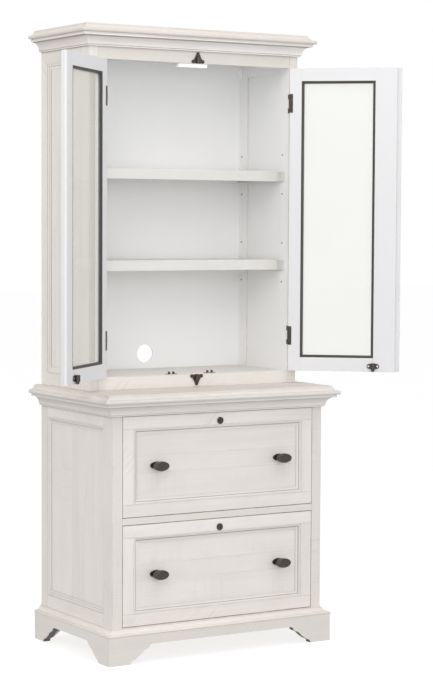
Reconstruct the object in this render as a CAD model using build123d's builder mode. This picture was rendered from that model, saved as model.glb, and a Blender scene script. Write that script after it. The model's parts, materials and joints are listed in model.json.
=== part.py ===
from build123d import *
import os
from math import cos, radians, sin

# A two-drawer lateral file cabinet with a two-door glazed hutch standing on it.
# Millimetres. +Z is up and the cabinet faces -Y.
# The origin is on the floor, under the middle of the file cabinet's body.

# ---- driving dimensions ----------------------------------------------------
BODY_WIDTH = 762
BASE_DEPTH = 478
HUTCH_DEPTH = 326

PLINTH_OVERHANG = 24
PLINTH_FACE_TOP = 87
BODY_BOTTOM = 109
BASE_BODY_TOP = 757
HUTCH_BODY_TOP = 1881
COVE_HEIGHT = 40
COVE_REACH = 36
TOP_THICKNESS = 27
TOP_NOSE = 46
TOP_INSET = 21

BASE_POST_WIDTH = 34.5
BASE_FRONT_POST_DEPTH = 56
BASE_REAR_POST_DEPTH = 43
HUTCH_POST_WIDTH = 31
HUTCH_FRONT_POST_DEPTH = 54
HUTCH_REAR_POST_DEPTH = 40
HUTCH_REAR_LINING_DEPTH = 33
RAIL_THICKNESS = 22
SIDE_RAIL_THICKNESS = 26
SIDE_BOTTOM_RAIL = 38
SIDE_TOP_RAIL = 35
PANEL_RECESS = 7
SIDE_PANEL_THICKNESS = 19
SIDE_MOULDING_WIDTH = 18
GROOVE_DEPTH = 0.9
GROOVE_WIDTH = 1.2

DRAWER_RAIL_BOTTOM = 423.5
DRAWER_RAIL_TOP = 445
DRAWER_GAP = 1.7
DRAWER_FRONT_THICKNESS = 22
DRAWER_FRAME_WIDTH = 38
DRAWER_MOULDING_WIDTH = 18
DRAWER_PANEL_RECESS = 8
BOX_BOARD = 12
BOX_HEIGHT = 250
BOX_DEPTH = 407
BOX_CLEARANCE_BELOW = 10
SLIDE_LENGTH = 400
SLIDE_SHEET = 1.2
KNOB_OFFSET = 224
KNOB_WIDTH = 52
KNOB_HEIGHT = 30
LOCK_BELOW_TOP = 26

HUTCH_BOTTOM_RAIL = 40
HUTCH_OPENING_TOP = 1843
HUTCH_FLOOR_THICKNESS = 18
CEILING_UNDERSIDE = 1866
CEILING_THICKNESS = 12
HUTCH_BACK_FRONT_FACE = 213
BACK_THICKNESS = 6
CABLE_HOLE_X = -14
CABLE_HOLE_ABOVE_FLOOR = 49
CABLE_HOLE_RADIUS = 30
SHELF_THICKNESS = 20
SHELF_LIP_HEIGHT = 33
SHELF_FRONT = -33
SHELF_PIN_PITCH = 63
UPPER_SHELF_TOP = 1512
LOWER_SHELF_TOP = 1224

DOOR_THICKNESS = 22
DOOR_GAP = 2
LEFT_DOOR_OPEN = 138
RIGHT_DOOR_OPEN = 139
HINGE_PIN_FORWARD = 5
HINGE_LENGTH = 60
HINGE_PIN_RADIUS = 2
HINGE_BORE_CLEARANCE = 0.05
HINGE_KNUCKLE_RADIUS = 4.5
HINGE_LEAF = 1.2
DOOR_TOP_RAIL = 41
DOOR_BOTTOM_RAIL = 44
HINGE_STILE = 39
LEFT_FREE_STILE = 47
RIGHT_FREE_STILE = 70
MEETING_LAP = 13
GLASS_THICKNESS = 4
BEAD_WIDTH = 8
CATCH_X = 71
BOLT_X = 4
BOLT_ROD_RADIUS = 4
BOLT_THROW = 12

# ---- derived places --------------------------------------------------------
HALF_WIDTH = BODY_WIDTH / 2
BASE_FRONT = -BASE_DEPTH / 2
BACK = BASE_DEPTH / 2
HUTCH_FRONT = BACK - HUTCH_DEPTH
COVE_TOP = BASE_BODY_TOP + COVE_HEIGHT
BASE_TOP = COVE_TOP + TOP_THICKNESS
HUTCH_COVE_TOP = HUTCH_BODY_TOP + COVE_HEIGHT
HUTCH_FLOOR = BASE_TOP + HUTCH_BOTTOM_RAIL
BASE_INSIDE = HALF_WIDTH - BASE_POST_WIDTH
HUTCH_INSIDE = HALF_WIDTH - HUTCH_POST_WIDTH
PANEL_FACE = HALF_WIDTH - PANEL_RECESS
SIDE_PANEL_INNER = PANEL_FACE - SIDE_PANEL_THICKNESS
BASE_PANEL_FRONT = BASE_FRONT + BASE_FRONT_POST_DEPTH
BASE_PANEL_BACK = BACK - BASE_REAR_POST_DEPTH
HUTCH_PANEL_FRONT = HUTCH_FRONT + HUTCH_FRONT_POST_DEPTH
HUTCH_PANEL_BACK = BACK - HUTCH_REAR_POST_DEPTH
SIDES = (-1, 1)

X_OUT = Vector(1, 0, 0)
Y_BACK = Vector(0, 1, 0)
Z_UP = Vector(0, 0, 1)


# ---- helpers ---------------------------------------------------------------
def board(x_span, y_span, z_span):
    """A straight board that fills three spans."""
    middle = [(low + high) / 2 for low, high in (x_span, y_span, z_span)]
    size = [high - low for low, high in (x_span, y_span, z_span)]
    with BuildPart() as piece:
        with Locations(tuple(middle)):
            Box(*size)
    return piece.part


def mirrored_span(side, inner, outer):
    """The x span from inner to outer on the left (side -1) or right (side +1)."""
    return tuple(sorted((side * inner, side * outer)))


def save(name, solids):
    """Writes one node, a single solid or a group of separate solids, as a STEP file."""
    node = solids if isinstance(solids, (Part, Solid)) else Compound(children=list(solids))
    node.label = name
    export_step(node, f"parts/{name}.step")


def strip(start, end, across, up, outline, start_mitre, end_mitre):
    """A length of moulding from start to end.

    outline draws its section, with x along across and y along up.
    A mitre of +1 grows the strip towards across, -1 shrinks it and 0 is a square end.
    """
    along = (end - start).normalized()
    overrun = 60
    normal = across.cross(up)
    forwards = normal.dot(along) > 0
    origin = start - along * overrun if forwards else end + along * overrun
    with BuildPart() as piece:
        with BuildSketch(Plane(origin=origin, x_dir=across, z_dir=normal)):
            add(outline)
        extrude(amount=(end - start).length + 2 * overrun)
        split(bisect_by=Plane(origin=start, z_dir=along + across * start_mitre), keep=Keep.TOP)
        split(bisect_by=Plane(origin=end, z_dir=across * end_mitre - along), keep=Keep.TOP)
    return piece.part


def frame_strips(corner, width_way, width, height, outward, outline):
    """Four mitred strips that line a rectangular recess, from its lower first corner."""
    right = corner + width_way * width
    top = corner + Z_UP * height
    far = right + Z_UP * height
    return [
        strip(corner, right, Z_UP, outward, outline, -1, -1),
        strip(top, far, Z_UP * -1, outward, outline, -1, -1),
        strip(corner, top, width_way, outward, outline, -1, -1),
        strip(right, far, width_way * -1, outward, outline, -1, -1),
    ]


def three_sided_strips(front, back, outline):
    """Left, front and right strips around the cabinet, mitred at both front corners."""
    left_front = Vector(-HALF_WIDTH, front, 0)
    right_front = Vector(HALF_WIDTH, front, 0)
    left_back = Vector(-HALF_WIDTH, back, 0)
    right_back = Vector(HALF_WIDTH, back, 0)
    return [
        strip(left_back, left_front, X_OUT * -1, Z_UP, outline, 0, 1),
        strip(left_front, right_front, Y_BACK * -1, Z_UP, outline, 1, 1),
        strip(right_front, right_back, X_OUT, Z_UP, outline, 1, 0),
    ]


# ---- moulding sections -----------------------------------------------------
def ogee_section(width, height):
    """A stepped ogee: a flat outer fillet, a round and a hollow, and a thin inner edge."""
    fillet = 0.14 * width
    step = 0.12 * height
    middle = (0.5 * width, 0.55 * height)
    with BuildSketch() as section:
        with BuildLine():
            Polyline((0, 0), (0, height), (fillet, height), (fillet, height - step))
            ThreePointArc((fillet, height - step), (0.36 * width, 0.76 * height), middle)
            ThreePointArc(middle, (0.66 * width, 0.3 * height), (0.88 * width, 0.24 * height))
            Polyline((0.88 * width, 0.24 * height), (width, 0.24 * height), (width, 0), (0, 0))
        make_face()
    return section.sketch


def cove_section(bottom):
    """The crown's deep cove, with a small lower bead and a vertical upper fillet."""
    lower_reach = 7
    lower_height = 4
    upper_fillet = 9
    cove_start = (lower_reach + 3, bottom + lower_height + 1)
    cove_end = (COVE_REACH - 1.5, bottom + COVE_HEIGHT - upper_fillet)
    hollow = (lower_reach + 9, bottom + 0.58 * COVE_HEIGHT)
    with BuildSketch() as section:
        with BuildLine():
            Polyline((0, bottom), (lower_reach, bottom), (lower_reach, bottom + lower_height))
            Line((lower_reach, bottom + lower_height), cove_start)
            ThreePointArc(cove_start, hollow, cove_end)
            Line(cove_end, (COVE_REACH, bottom + COVE_HEIGHT - upper_fillet))
            Line((COVE_REACH, bottom + COVE_HEIGHT - upper_fillet), (COVE_REACH, bottom + COVE_HEIGHT))
            Polyline((COVE_REACH, bottom + COVE_HEIGHT), (0, bottom + COVE_HEIGHT), (0, bottom))
        make_face()
    return section.sketch


def top_nose_section(bottom):
    """The top's edge: a rounded nose, a step, a hollow and an upper fillet."""
    top = bottom + TOP_THICKNESS
    upper_reach = TOP_NOSE - TOP_INSET
    nose_low = (TOP_NOSE - 2.5, bottom)
    nose_high = (TOP_NOSE - 2, bottom + 11)
    hollow_low = (TOP_NOSE - 6, bottom + 12)
    hollow_high = (upper_reach + 4, top - 6)
    with BuildSketch() as section:
        with BuildLine():
            Line((0, bottom), nose_low)
            ThreePointArc(nose_low, (TOP_NOSE, bottom + 5.5), nose_high)
            Polyline(nose_high, (TOP_NOSE - 6, bottom + 11), hollow_low)
            ThreePointArc(hollow_low, (upper_reach + 8, bottom + 14.5), hollow_high)
            Polyline(hollow_high, (upper_reach, top - 6), (upper_reach, top), (0, top), (0, bottom))
        make_face()
    return section.sketch


def plinth_cap_section():
    """The moulding on the plinth: a lower bead and a hollow that runs in to the body."""
    bead_top = PLINTH_FACE_TOP + 6
    bead = (PLINTH_OVERHANG + 2, PLINTH_FACE_TOP + 3)
    hollow_start = (PLINTH_OVERHANG - 4, bead_top + 1)
    hollow_end = (6, BODY_BOTTOM - 3)
    with BuildSketch() as section:
        with BuildLine():
            Line((0, PLINTH_FACE_TOP), (PLINTH_OVERHANG, PLINTH_FACE_TOP))
            ThreePointArc((PLINTH_OVERHANG, PLINTH_FACE_TOP), bead, (PLINTH_OVERHANG, bead_top))
            Polyline((PLINTH_OVERHANG, bead_top), (PLINTH_OVERHANG - 4, bead_top), hollow_start)
            ThreePointArc(hollow_start, (10, bead_top + 5), hollow_end)
            Polyline(hollow_end, (3, BODY_BOTTOM - 3), (3, BODY_BOTTOM), (0, BODY_BOTTOM))
            Line((0, BODY_BOTTOM), (0, PLINTH_FACE_TOP))
        make_face()
    return section.sketch


# ---- plinth ----------------------------------------------------------------
ARCH_TOP = 57
FOOT_RUN = 75
PLINTH_FRONT = BASE_FRONT - PLINTH_OVERHANG
PLINTH_HALF = HALF_WIDTH + PLINTH_OVERHANG
FRONT_FOOT = 76
SIDE_FRONT_FOOT = 69
SIDE_REAR_FOOT = 62


def bracket_curve(toe, way):
    """One foot's shaped edge, from its toe on the floor up to the arch, going along way."""
    def at(run, rise):
        return (toe + way * run, rise)

    Line(at(0, 0), at(0, 6))
    ThreePointArc(at(0, 6), at(3.2, 7.8), at(5, 11))
    Line(at(5, 11), at(9, 11))
    ThreePointArc(at(9, 11), at(22, 18), at(36, 29))
    ThreePointArc(at(36, 29), at(48, 39), at(61, 44))
    Polyline(at(61, 44), at(61, 47), at(65, 47))
    ThreePointArc(at(65, 47), at(68, 54), at(FOOT_RUN, ARCH_TOP))


def arched_outline(left_end, left_toe, right_toe, right_end):
    """A plinth board seen from its face: two bracket feet and a flat arch between them."""
    with BuildSketch() as section:
        with BuildLine():
            Line((left_end, 0), (left_toe, 0))
            bracket_curve(left_toe, 1)
            Line((left_toe + FOOT_RUN, ARCH_TOP), (right_toe - FOOT_RUN, ARCH_TOP))
            bracket_curve(right_toe, -1)
            Line((right_toe, 0), (right_end, 0))
            Polyline((right_end, 0), (right_end, PLINTH_FACE_TOP), (left_end, PLINTH_FACE_TOP), (left_end, 0))
        make_face()
    return section.sketch


def plinth_front_board():
    toe = PLINTH_HALF - FRONT_FOOT
    outline = arched_outline(-PLINTH_HALF, -toe, toe, PLINTH_HALF)
    with BuildPart() as piece:
        with BuildSketch(Plane.XY):
            with BuildLine():
                Polyline(
                    (-HALF_WIDTH, BASE_FRONT),
                    (-PLINTH_HALF, PLINTH_FRONT),
                    (PLINTH_HALF, PLINTH_FRONT),
                    (HALF_WIDTH, BASE_FRONT),
                    close=True,
                )
            make_face()
        extrude(amount=PLINTH_FACE_TOP)
        with BuildSketch(Plane.XZ.offset(-BASE_FRONT - PLINTH_OVERHANG)):
            add(outline)
        extrude(amount=3 * PLINTH_OVERHANG, both=True, mode=Mode.INTERSECT)
    return piece.part


def plinth_side_board(side):
    front_toe = PLINTH_FRONT + SIDE_FRONT_FOOT
    rear_toe = BACK - SIDE_REAR_FOOT
    outline = arched_outline(PLINTH_FRONT, front_toe, rear_toe, BACK)
    with BuildPart() as piece:
        with BuildSketch(Plane.XY):
            with BuildLine():
                Polyline(
                    (side * HALF_WIDTH, BACK),
                    (side * PLINTH_HALF, BACK),
                    (side * PLINTH_HALF, PLINTH_FRONT),
                    (side * HALF_WIDTH, BASE_FRONT),
                    close=True,
                )
            make_face()
        extrude(amount=PLINTH_FACE_TOP)
        with BuildSketch(Plane.YZ.offset(side * HALF_WIDTH)):
            add(outline)
        extrude(amount=3 * PLINTH_OVERHANG, both=True, mode=Mode.INTERSECT)
    return piece.part


def foot_blocks():
    """Glue blocks behind the front corners, and the braces across the rear feet."""
    block = 34
    brace_width = 110
    brace_thickness = 18
    pieces = []
    for side in SIDES:
        x_span = mirrored_span(side, HALF_WIDTH - block, HALF_WIDTH)
        pieces.append(board(x_span, (BASE_FRONT, BASE_FRONT + block), (0, ARCH_TOP)))
        with BuildPart() as brace:
            with BuildSketch(Plane.XZ.offset(-BACK)):
                with BuildLine():
                    Polyline(
                        (side * HALF_WIDTH, 0),
                        (side * (HALF_WIDTH - block), 0),
                        (side * (HALF_WIDTH - brace_width), ARCH_TOP),
                        (side * HALF_WIDTH, ARCH_TOP),
                        close=True,
                    )
                make_face()
            extrude(amount=brace_thickness)
        pieces.append(brace.part)
    return pieces


def build_plinth():
    boards = [plinth_front_board(), plinth_side_board(-1), plinth_side_board(1)]
    save("plinth_boards", boards + foot_blocks())
    save("plinth_cap_moulding", three_sided_strips(BASE_FRONT, BACK, plinth_cap_section()))


# ---- file cabinet carcass --------------------------------------------------
SLIDE_Z = (190, 525)
RUNNER_HEIGHT = 70
RUNNER_INNER = BASE_INSIDE
RUNNER_OUTER = SIDE_PANEL_INNER


def base_frame():
    """Posts, side rails, front and rear rails and the boards that carry the drawer slides."""
    pieces = []
    front_depth = (BASE_FRONT, BASE_PANEL_FRONT)
    rear_depth = (BASE_PANEL_BACK, BACK)
    side_depth = (BASE_PANEL_FRONT, BASE_PANEL_BACK)
    bottom_rail = (ARCH_TOP, BODY_BOTTOM + SIDE_BOTTOM_RAIL)
    top_rail = (BASE_BODY_TOP - SIDE_TOP_RAIL, COVE_TOP)
    for side in SIDES:
        post = mirrored_span(side, BASE_INSIDE, HALF_WIDTH)
        rail = mirrored_span(side, HALF_WIDTH - SIDE_RAIL_THICKNESS, HALF_WIDTH)
        runner = mirrored_span(side, RUNNER_INNER, RUNNER_OUTER)
        for depth in (front_depth, rear_depth):
            pieces.append(board(post, depth, (ARCH_TOP, COVE_TOP)))
        for height in (bottom_rail, top_rail):
            pieces.append(board(rail, side_depth, height))
        for middle in SLIDE_Z:
            height = (middle - RUNNER_HEIGHT / 2, middle + RUNNER_HEIGHT / 2)
            pieces.append(board(runner, side_depth, height))
    across = (-BASE_INSIDE, BASE_INSIDE)
    front_rail = (BASE_FRONT, BASE_FRONT + RAIL_THICKNESS)
    rear_rail = (BACK - RAIL_THICKNESS, BACK)
    pieces.append(board(across, front_rail, (DRAWER_RAIL_BOTTOM, DRAWER_RAIL_TOP)))
    for depth in (front_rail, rear_rail):
        pieces.append(board(across, depth, (PLINTH_FACE_TOP - 10, BODY_BOTTOM)))
        pieces.append(board(across, depth, (BASE_BODY_TOP, COVE_TOP)))
    return pieces


def side_panel(side, front, back, height, seams, holes):
    """A plank panel; seams are the depths of the V-joints between its planks."""
    thickness = SIDE_PANEL_THICKNESS
    bottom, top = height
    with BuildPart() as piece:
        middle = (side * (PANEL_FACE - thickness / 2), (front + back) / 2, (bottom + top) / 2)
        with Locations(middle):
            Box(thickness, back - front, top - bottom)
        with BuildSketch(Plane.XY.offset(bottom)):
            for depth in seams:
                with Locations((side * PANEL_FACE, depth)):
                    Rectangle(2 * GROOVE_DEPTH, GROOVE_WIDTH, rotation=45)
        extrude(amount=top - bottom, mode=Mode.SUBTRACT)
        if holes:
            extrude(holes, amount=side * PIN_DEPTH, mode=Mode.SUBTRACT)
    return piece.part


BASE_SIDE_SEAMS = (-113, -46, 41, 118)
HUTCH_SIDE_SEAMS = (22, 104, 152)
BASE_SIDE_PANEL_BOTTOM = BODY_BOTTOM + SIDE_BOTTOM_RAIL
BASE_SIDE_PANEL_TOP = BASE_BODY_TOP - SIDE_TOP_RAIL
HUTCH_SIDE_PANEL_BOTTOM = HUTCH_FLOOR
HUTCH_SIDE_PANEL_TOP = HUTCH_OPENING_TOP


def build_side_panels():
    panels = []
    mouldings = []
    base_height = (BASE_SIDE_PANEL_BOTTOM, BASE_SIDE_PANEL_TOP)
    hutch_height = (HUTCH_SIDE_PANEL_BOTTOM, HUTCH_SIDE_PANEL_TOP)
    fields = (
        (BASE_PANEL_FRONT, BASE_PANEL_BACK, base_height, BASE_SIDE_SEAMS),
        (HUTCH_PANEL_FRONT, HUTCH_PANEL_BACK, hutch_height, HUTCH_SIDE_SEAMS),
    )
    outline = ogee_section(SIDE_MOULDING_WIDTH, PANEL_RECESS)
    for side in SIDES:
        for front, back, height, seams in fields:
            holes = peg_circles(side, PIN_REAR_Y) if height == hutch_height else None
            panels.append(side_panel(side, front, back, height, seams, holes))
            corner = Vector(side * PANEL_FACE, front, height[0])
            rise = height[1] - height[0]
            mouldings += frame_strips(corner, Y_BACK, back - front, rise, X_OUT * side, outline)
    save("side_panels", panels)
    save("side_panel_mouldings", mouldings)


def base_top():
    """The file cabinet's moulded top, in one piece."""
    noses = three_sided_strips(BASE_FRONT, BACK, top_nose_section(COVE_TOP))
    with BuildPart() as piece:
        with Locations((0, 0, COVE_TOP + TOP_THICKNESS / 2)):
            Box(BODY_WIDTH, BASE_DEPTH, TOP_THICKNESS)
        add(noses)
    return piece.part


def build_base_carcass():
    across = (-BASE_INSIDE, BASE_INSIDE)
    back_face = BACK - RAIL_THICKNESS + 6
    save("base_frame", base_frame())
    bottom_depth = (BASE_FRONT + RAIL_THICKNESS, BACK - RAIL_THICKNESS)
    bottom_panel = board(across, bottom_depth, (BODY_BOTTOM - BOX_BOARD, BODY_BOTTOM))
    save("base_bottom_panel", bottom_panel)
    back_depth = (back_face, back_face + BACK_THICKNESS)
    save("base_back_panel", board(across, back_depth, (BODY_BOTTOM, BASE_BODY_TOP)))
    save("base_cove_moulding", three_sided_strips(BASE_FRONT, BACK, cove_section(BASE_BODY_TOP)))
    save("base_top", base_top())


# ---- drawer slides ---------------------------------------------------------
SLIDE_FRONT = BASE_FRONT + DRAWER_FRONT_THICKNESS + 3
# Each member: web's inner x, half height, and how far its lips reach inwards or outwards.
CABINET_MEMBER = (BASE_INSIDE - SLIDE_SHEET, 22.5, -7)
MIDDLE_MEMBER = (BASE_INSIDE - 3.6, 19.5, -6.5)
DRAWER_MEMBER = (BASE_INSIDE - 12.5, 16.5, 6.5)


def channel(side, middle_z, member):
    """One folded-sheet member of a ball-bearing slide."""
    web, half_height, lip = member
    with BuildPart() as piece:
        with BuildSketch(Plane.XZ.offset(-SLIDE_FRONT)):
            with Locations((side * (web + SLIDE_SHEET / 2), middle_z)):
                Rectangle(SLIDE_SHEET, 2 * half_height)
            root = web if lip < 0 else web + SLIDE_SHEET
            for way in SIDES:
                with Locations((side * (root + lip / 2), middle_z + way * (half_height - SLIDE_SHEET / 2))):
                    Rectangle(abs(lip), SLIDE_SHEET)
        extrude(amount=-SLIDE_LENGTH)
    return piece.part


def slide_pair(middle_z, member):
    return [channel(side, middle_z, member) for side in SIDES]


# ---- drawers ---------------------------------------------------------------
DRAWER_HALF = BASE_INSIDE - DRAWER_GAP
BOX_HALF = DRAWER_MEMBER[0]
PANEL_Y = BASE_FRONT + DRAWER_PANEL_RECESS
BOX_FRONT = BASE_FRONT + DRAWER_FRONT_THICKNESS
BOX_BACK = BOX_FRONT + BOX_DEPTH
SCREW_RADIUS = 2
LOCK_RADIUS = 9


def drawer_front_frame(bottom, top):
    """Rails across the full width with stiles between them, and a hole for the lock."""
    depth = (BASE_FRONT, BOX_FRONT)
    across = (-DRAWER_HALF, DRAWER_HALF)
    inner = DRAWER_HALF - DRAWER_FRAME_WIDTH
    with BuildPart() as top_rail:
        with Locations((0, (BASE_FRONT + BOX_FRONT) / 2, top - DRAWER_FRAME_WIDTH / 2)):
            Box(2 * DRAWER_HALF, DRAWER_FRONT_THICKNESS, DRAWER_FRAME_WIDTH)
        with BuildSketch(Plane.XZ.offset(-BASE_FRONT)):
            with Locations((0, top - LOCK_BELOW_TOP)):
                Circle(LOCK_RADIUS)
        extrude(amount=-DRAWER_FRONT_THICKNESS, mode=Mode.SUBTRACT)
    bottom_rail = board(across, depth, (bottom, bottom + DRAWER_FRAME_WIDTH))
    stile_height = (bottom + DRAWER_FRAME_WIDTH, top - DRAWER_FRAME_WIDTH)
    stiles = [board(mirrored_span(side, inner, DRAWER_HALF), depth, stile_height) for side in SIDES]
    return [top_rail.part, bottom_rail] + stiles


DRAWER_SEAMS = (86, 139)


def drawer_front_panel(bottom, top):
    """The plank panel, with two level V-joints and the knob screws' holes."""
    inner = DRAWER_HALF - DRAWER_FRAME_WIDTH
    low = bottom + DRAWER_FRAME_WIDTH
    high = top - DRAWER_FRAME_WIDTH
    thickness = BOX_FRONT - PANEL_Y
    with BuildPart() as piece:
        with Locations((0, (PANEL_Y + BOX_FRONT) / 2, (low + high) / 2)):
            Box(2 * inner, thickness, high - low)
        with BuildSketch(Plane.YZ.offset(-inner)):
            for drop in DRAWER_SEAMS:
                with Locations((PANEL_Y, high - drop)):
                    Rectangle(2 * GROOVE_DEPTH, GROOVE_WIDTH, rotation=45)
        extrude(amount=2 * inner, mode=Mode.SUBTRACT)
        with BuildSketch(Plane.XZ.offset(-PANEL_Y)):
            with Locations(*[(side * KNOB_OFFSET, (bottom + top) / 2) for side in SIDES]):
                Circle(SCREW_RADIUS)
        extrude(amount=-thickness, mode=Mode.SUBTRACT)
    return piece.part


def drawer_box(bottom, knob_z):
    """Sides, front, back and bottom of the drawer box, as separate boards."""
    low = bottom + BOX_CLEARANCE_BELOW
    high = low + BOX_HEIGHT
    inner = BOX_HALF - BOX_BOARD
    floor_rise = 6
    floor_thickness = 6
    floor = low + floor_rise
    with BuildPart() as front:
        with Locations((0, BOX_FRONT + BOX_BOARD / 2, (low + high) / 2)):
            Box(2 * inner, BOX_BOARD, high - low)
        with BuildSketch(Plane.XZ.offset(-BOX_FRONT)):
            with Locations(*[(side * KNOB_OFFSET, knob_z) for side in SIDES]):
                Circle(SCREW_RADIUS)
        extrude(amount=-BOX_BOARD, mode=Mode.SUBTRACT)
    pieces = [front.part]
    pieces.append(board((-inner, inner), (BOX_BACK - BOX_BOARD, BOX_BACK), (low, high)))
    for side in SIDES:
        pieces.append(board(mirrored_span(side, inner, BOX_HALF), (BOX_FRONT, BOX_BACK), (low, high)))
    floor_depth = (BOX_FRONT + BOX_BOARD, BOX_BACK - BOX_BOARD)
    pieces.append(board((-inner, inner), floor_depth, (floor, floor + floor_thickness)))
    return pieces


def file_rails(bottom):
    """Two steel bars across the box that hanging files hook on, bent over its sides."""
    high = bottom + BOX_CLEARANCE_BELOW + BOX_HEIGHT
    inner = BOX_HALF - BOX_BOARD
    bar = 3
    bar_height = 16
    hook_spacing = 318
    first_gap = 8
    front_bar = BOX_FRONT + BOX_BOARD + first_gap
    pieces = []
    for depth in (front_bar, front_bar + hook_spacing):
        with BuildPart() as piece:
            with BuildSketch(Plane.XZ.offset(-depth)):
                with Locations((0, high - bar_height / 2)):
                    Rectangle(2 * inner, bar_height)
                with Locations((0, high + bar / 4)):
                    Rectangle(2 * BOX_HALF, bar / 2)
            extrude(amount=-bar)
        pieces.append(piece.part)
    return pieces


def knobs(middle_z):
    """Oval cabinet knobs: an oval foot plate, a short stem and an egg-shaped head, with screws."""
    foot_thickness = 4
    stem_length = 20
    head_thickness = 18
    screw_reach = 10
    screw_head_radius = 4
    screw_head_height = 2.4
    foot_front = PANEL_Y - foot_thickness
    head_back = foot_front - stem_length
    screw_end = PANEL_Y - screw_reach
    box_inside = BOX_FRONT + BOX_BOARD
    foot_radii = (22, 11.5)
    stem_radii = (10, 7)
    edge_softening = 1.5
    head_softening = 7
    rear_softening = 5
    near = 0.01
    pieces = []
    for side in SIDES:
        x = side * KNOB_OFFSET
        with BuildPart() as knob:
            with BuildSketch(Plane.XZ.offset(-PANEL_Y)):
                with Locations((x, middle_z)):
                    Ellipse(*foot_radii)
            extrude(amount=foot_thickness)
            fillet(knob.edges().group_by(Axis.Y)[0], edge_softening)
            with BuildSketch(Plane.XZ.offset(-foot_front)):
                with Locations((x, middle_z)):
                    Ellipse(*stem_radii)
            extrude(amount=stem_length)
            with BuildSketch(Plane.XZ.offset(-head_back)):
                with Locations((x, middle_z)):
                    Ellipse(KNOB_WIDTH / 2, KNOB_HEIGHT / 2)
            extrude(amount=head_thickness)
            fillet(knob.edges().group_by(Axis.Y)[0], head_softening)
            rear_edges = knob.edges().filter_by_position(Axis.Y, head_back - near, head_back + near)
            fillet(rear_edges.sort_by(SortBy.LENGTH)[-1], rear_softening)
            with BuildSketch(Plane.XZ.offset(-PANEL_Y)):
                with Locations((x, middle_z)):
                    Circle(SCREW_RADIUS)
            extrude(amount=screw_reach, mode=Mode.SUBTRACT)
        with BuildPart() as screw:
            with BuildSketch(Plane.XZ.offset(-box_inside)):
                with Locations((x, middle_z)):
                    Circle(SCREW_RADIUS)
            extrude(amount=box_inside - screw_end)
            with BuildSketch(Plane.XZ.offset(-box_inside)):
                with Locations((x, middle_z)):
                    Circle(screw_head_radius)
            extrude(amount=-screw_head_height)
            fillet(screw.edges().group_by(Axis.Y)[-1], 1)
        pieces += [knob.part, screw.part]
    return pieces


PLUG_RADIUS = 6
PLUG_CLEARANCE = 0.05
CAM_Y = BOX_FRONT + 5
CAM_LENGTH = 38


def lock_case(middle_z):
    """The lock's round body: a flange on the front, and a nut behind the drawer front."""
    flange_radius = 11
    flange_thickness = 3.5
    flange_rounding = 1.5
    nut_margin = 3
    nut_thickness = 2.5
    bore_start = 10
    bore_length = 60
    back = BOX_FRONT + 3
    with BuildPart() as piece:
        with BuildSketch(Plane.XZ.offset(-BASE_FRONT)):
            with Locations((0, middle_z)):
                Circle(flange_radius)
        extrude(amount=flange_thickness)
        fillet(piece.edges().group_by(Axis.Y)[0], flange_rounding)
        with BuildSketch(Plane.XZ.offset(-BASE_FRONT)):
            with Locations((0, middle_z)):
                Circle(LOCK_RADIUS)
        extrude(amount=-(back - BASE_FRONT))
        with BuildSketch(Plane.XZ.offset(-BOX_FRONT)):
            with Locations((0, middle_z)):
                RegularPolygon(LOCK_RADIUS + nut_margin, 6)
        extrude(amount=-nut_thickness)
        with BuildSketch(Plane.XZ.offset(-BASE_FRONT + bore_start)):
            with Locations((0, middle_z)):
                Circle(PLUG_RADIUS + PLUG_CLEARANCE)
        extrude(amount=-bore_length, mode=Mode.SUBTRACT)
    return piece.part


def lock_plug(middle_z):
    """The plug that the key turns, with its slot in front and the cam on its rear end."""
    face = BASE_FRONT - 4
    key_slot = (1.6, 8)
    key_depth = 6
    cam_offset = 8
    cam_width = 13
    cam_thickness = 2
    with BuildPart() as piece:
        with BuildSketch(Plane.XZ.offset(-face)):
            with Locations((0, middle_z)):
                Circle(PLUG_RADIUS)
        extrude(amount=-(CAM_Y - face))
        with BuildSketch(Plane.XZ.offset(-face)):
            with Locations((0, middle_z)):
                Rectangle(*key_slot)
        extrude(amount=-key_depth, mode=Mode.SUBTRACT)
        with BuildSketch(Plane.XZ.offset(-CAM_Y)):
            with Locations((CAM_LENGTH / 2 - cam_offset, middle_z)):
                SlotOverall(CAM_LENGTH, cam_width)
        extrude(amount=-cam_thickness)
    return piece.part


def build_drawer(name, low, high, slide_z):
    bottom = low + DRAWER_GAP
    top = high - DRAWER_GAP
    middle = (bottom + top) / 2
    inner = DRAWER_HALF - DRAWER_FRAME_WIDTH
    panel_low = bottom + DRAWER_FRAME_WIDTH
    panel_height = top - bottom - 2 * DRAWER_FRAME_WIDTH
    save(f"{name}_front_frame", drawer_front_frame(bottom, top))
    save(f"{name}_front_panel", drawer_front_panel(bottom, top))
    strips = frame_strips(
        Vector(-inner, PANEL_Y, panel_low), X_OUT, 2 * inner, panel_height, Y_BACK * -1,
        ogee_section(DRAWER_MOULDING_WIDTH, DRAWER_PANEL_RECESS),
    )
    save(f"{name}_front_moulding", strips)
    save(f"{name}_box", drawer_box(bottom, middle))
    save(f"{name}_file_rails", file_rails(bottom))
    save(f"{name}_knobs", knobs(middle))
    save(f"{name}_lock_case", lock_case(top - LOCK_BELOW_TOP))
    save(f"{name}_lock_plug", lock_plug(top - LOCK_BELOW_TOP))
    save(f"{name}_slide_members", slide_pair(slide_z, DRAWER_MEMBER))
    save(f"{name}_slide_middles", slide_pair(slide_z, MIDDLE_MEMBER))


def build_drawers():
    build_drawer("lower_drawer", BODY_BOTTOM, DRAWER_RAIL_BOTTOM, SLIDE_Z[0])
    build_drawer("upper_drawer", DRAWER_RAIL_TOP, BASE_BODY_TOP, SLIDE_Z[1])
    cabinet_members = [piece for z in SLIDE_Z for piece in slide_pair(z, CABINET_MEMBER)]
    save("slide_cabinet_members", cabinet_members)


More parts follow.
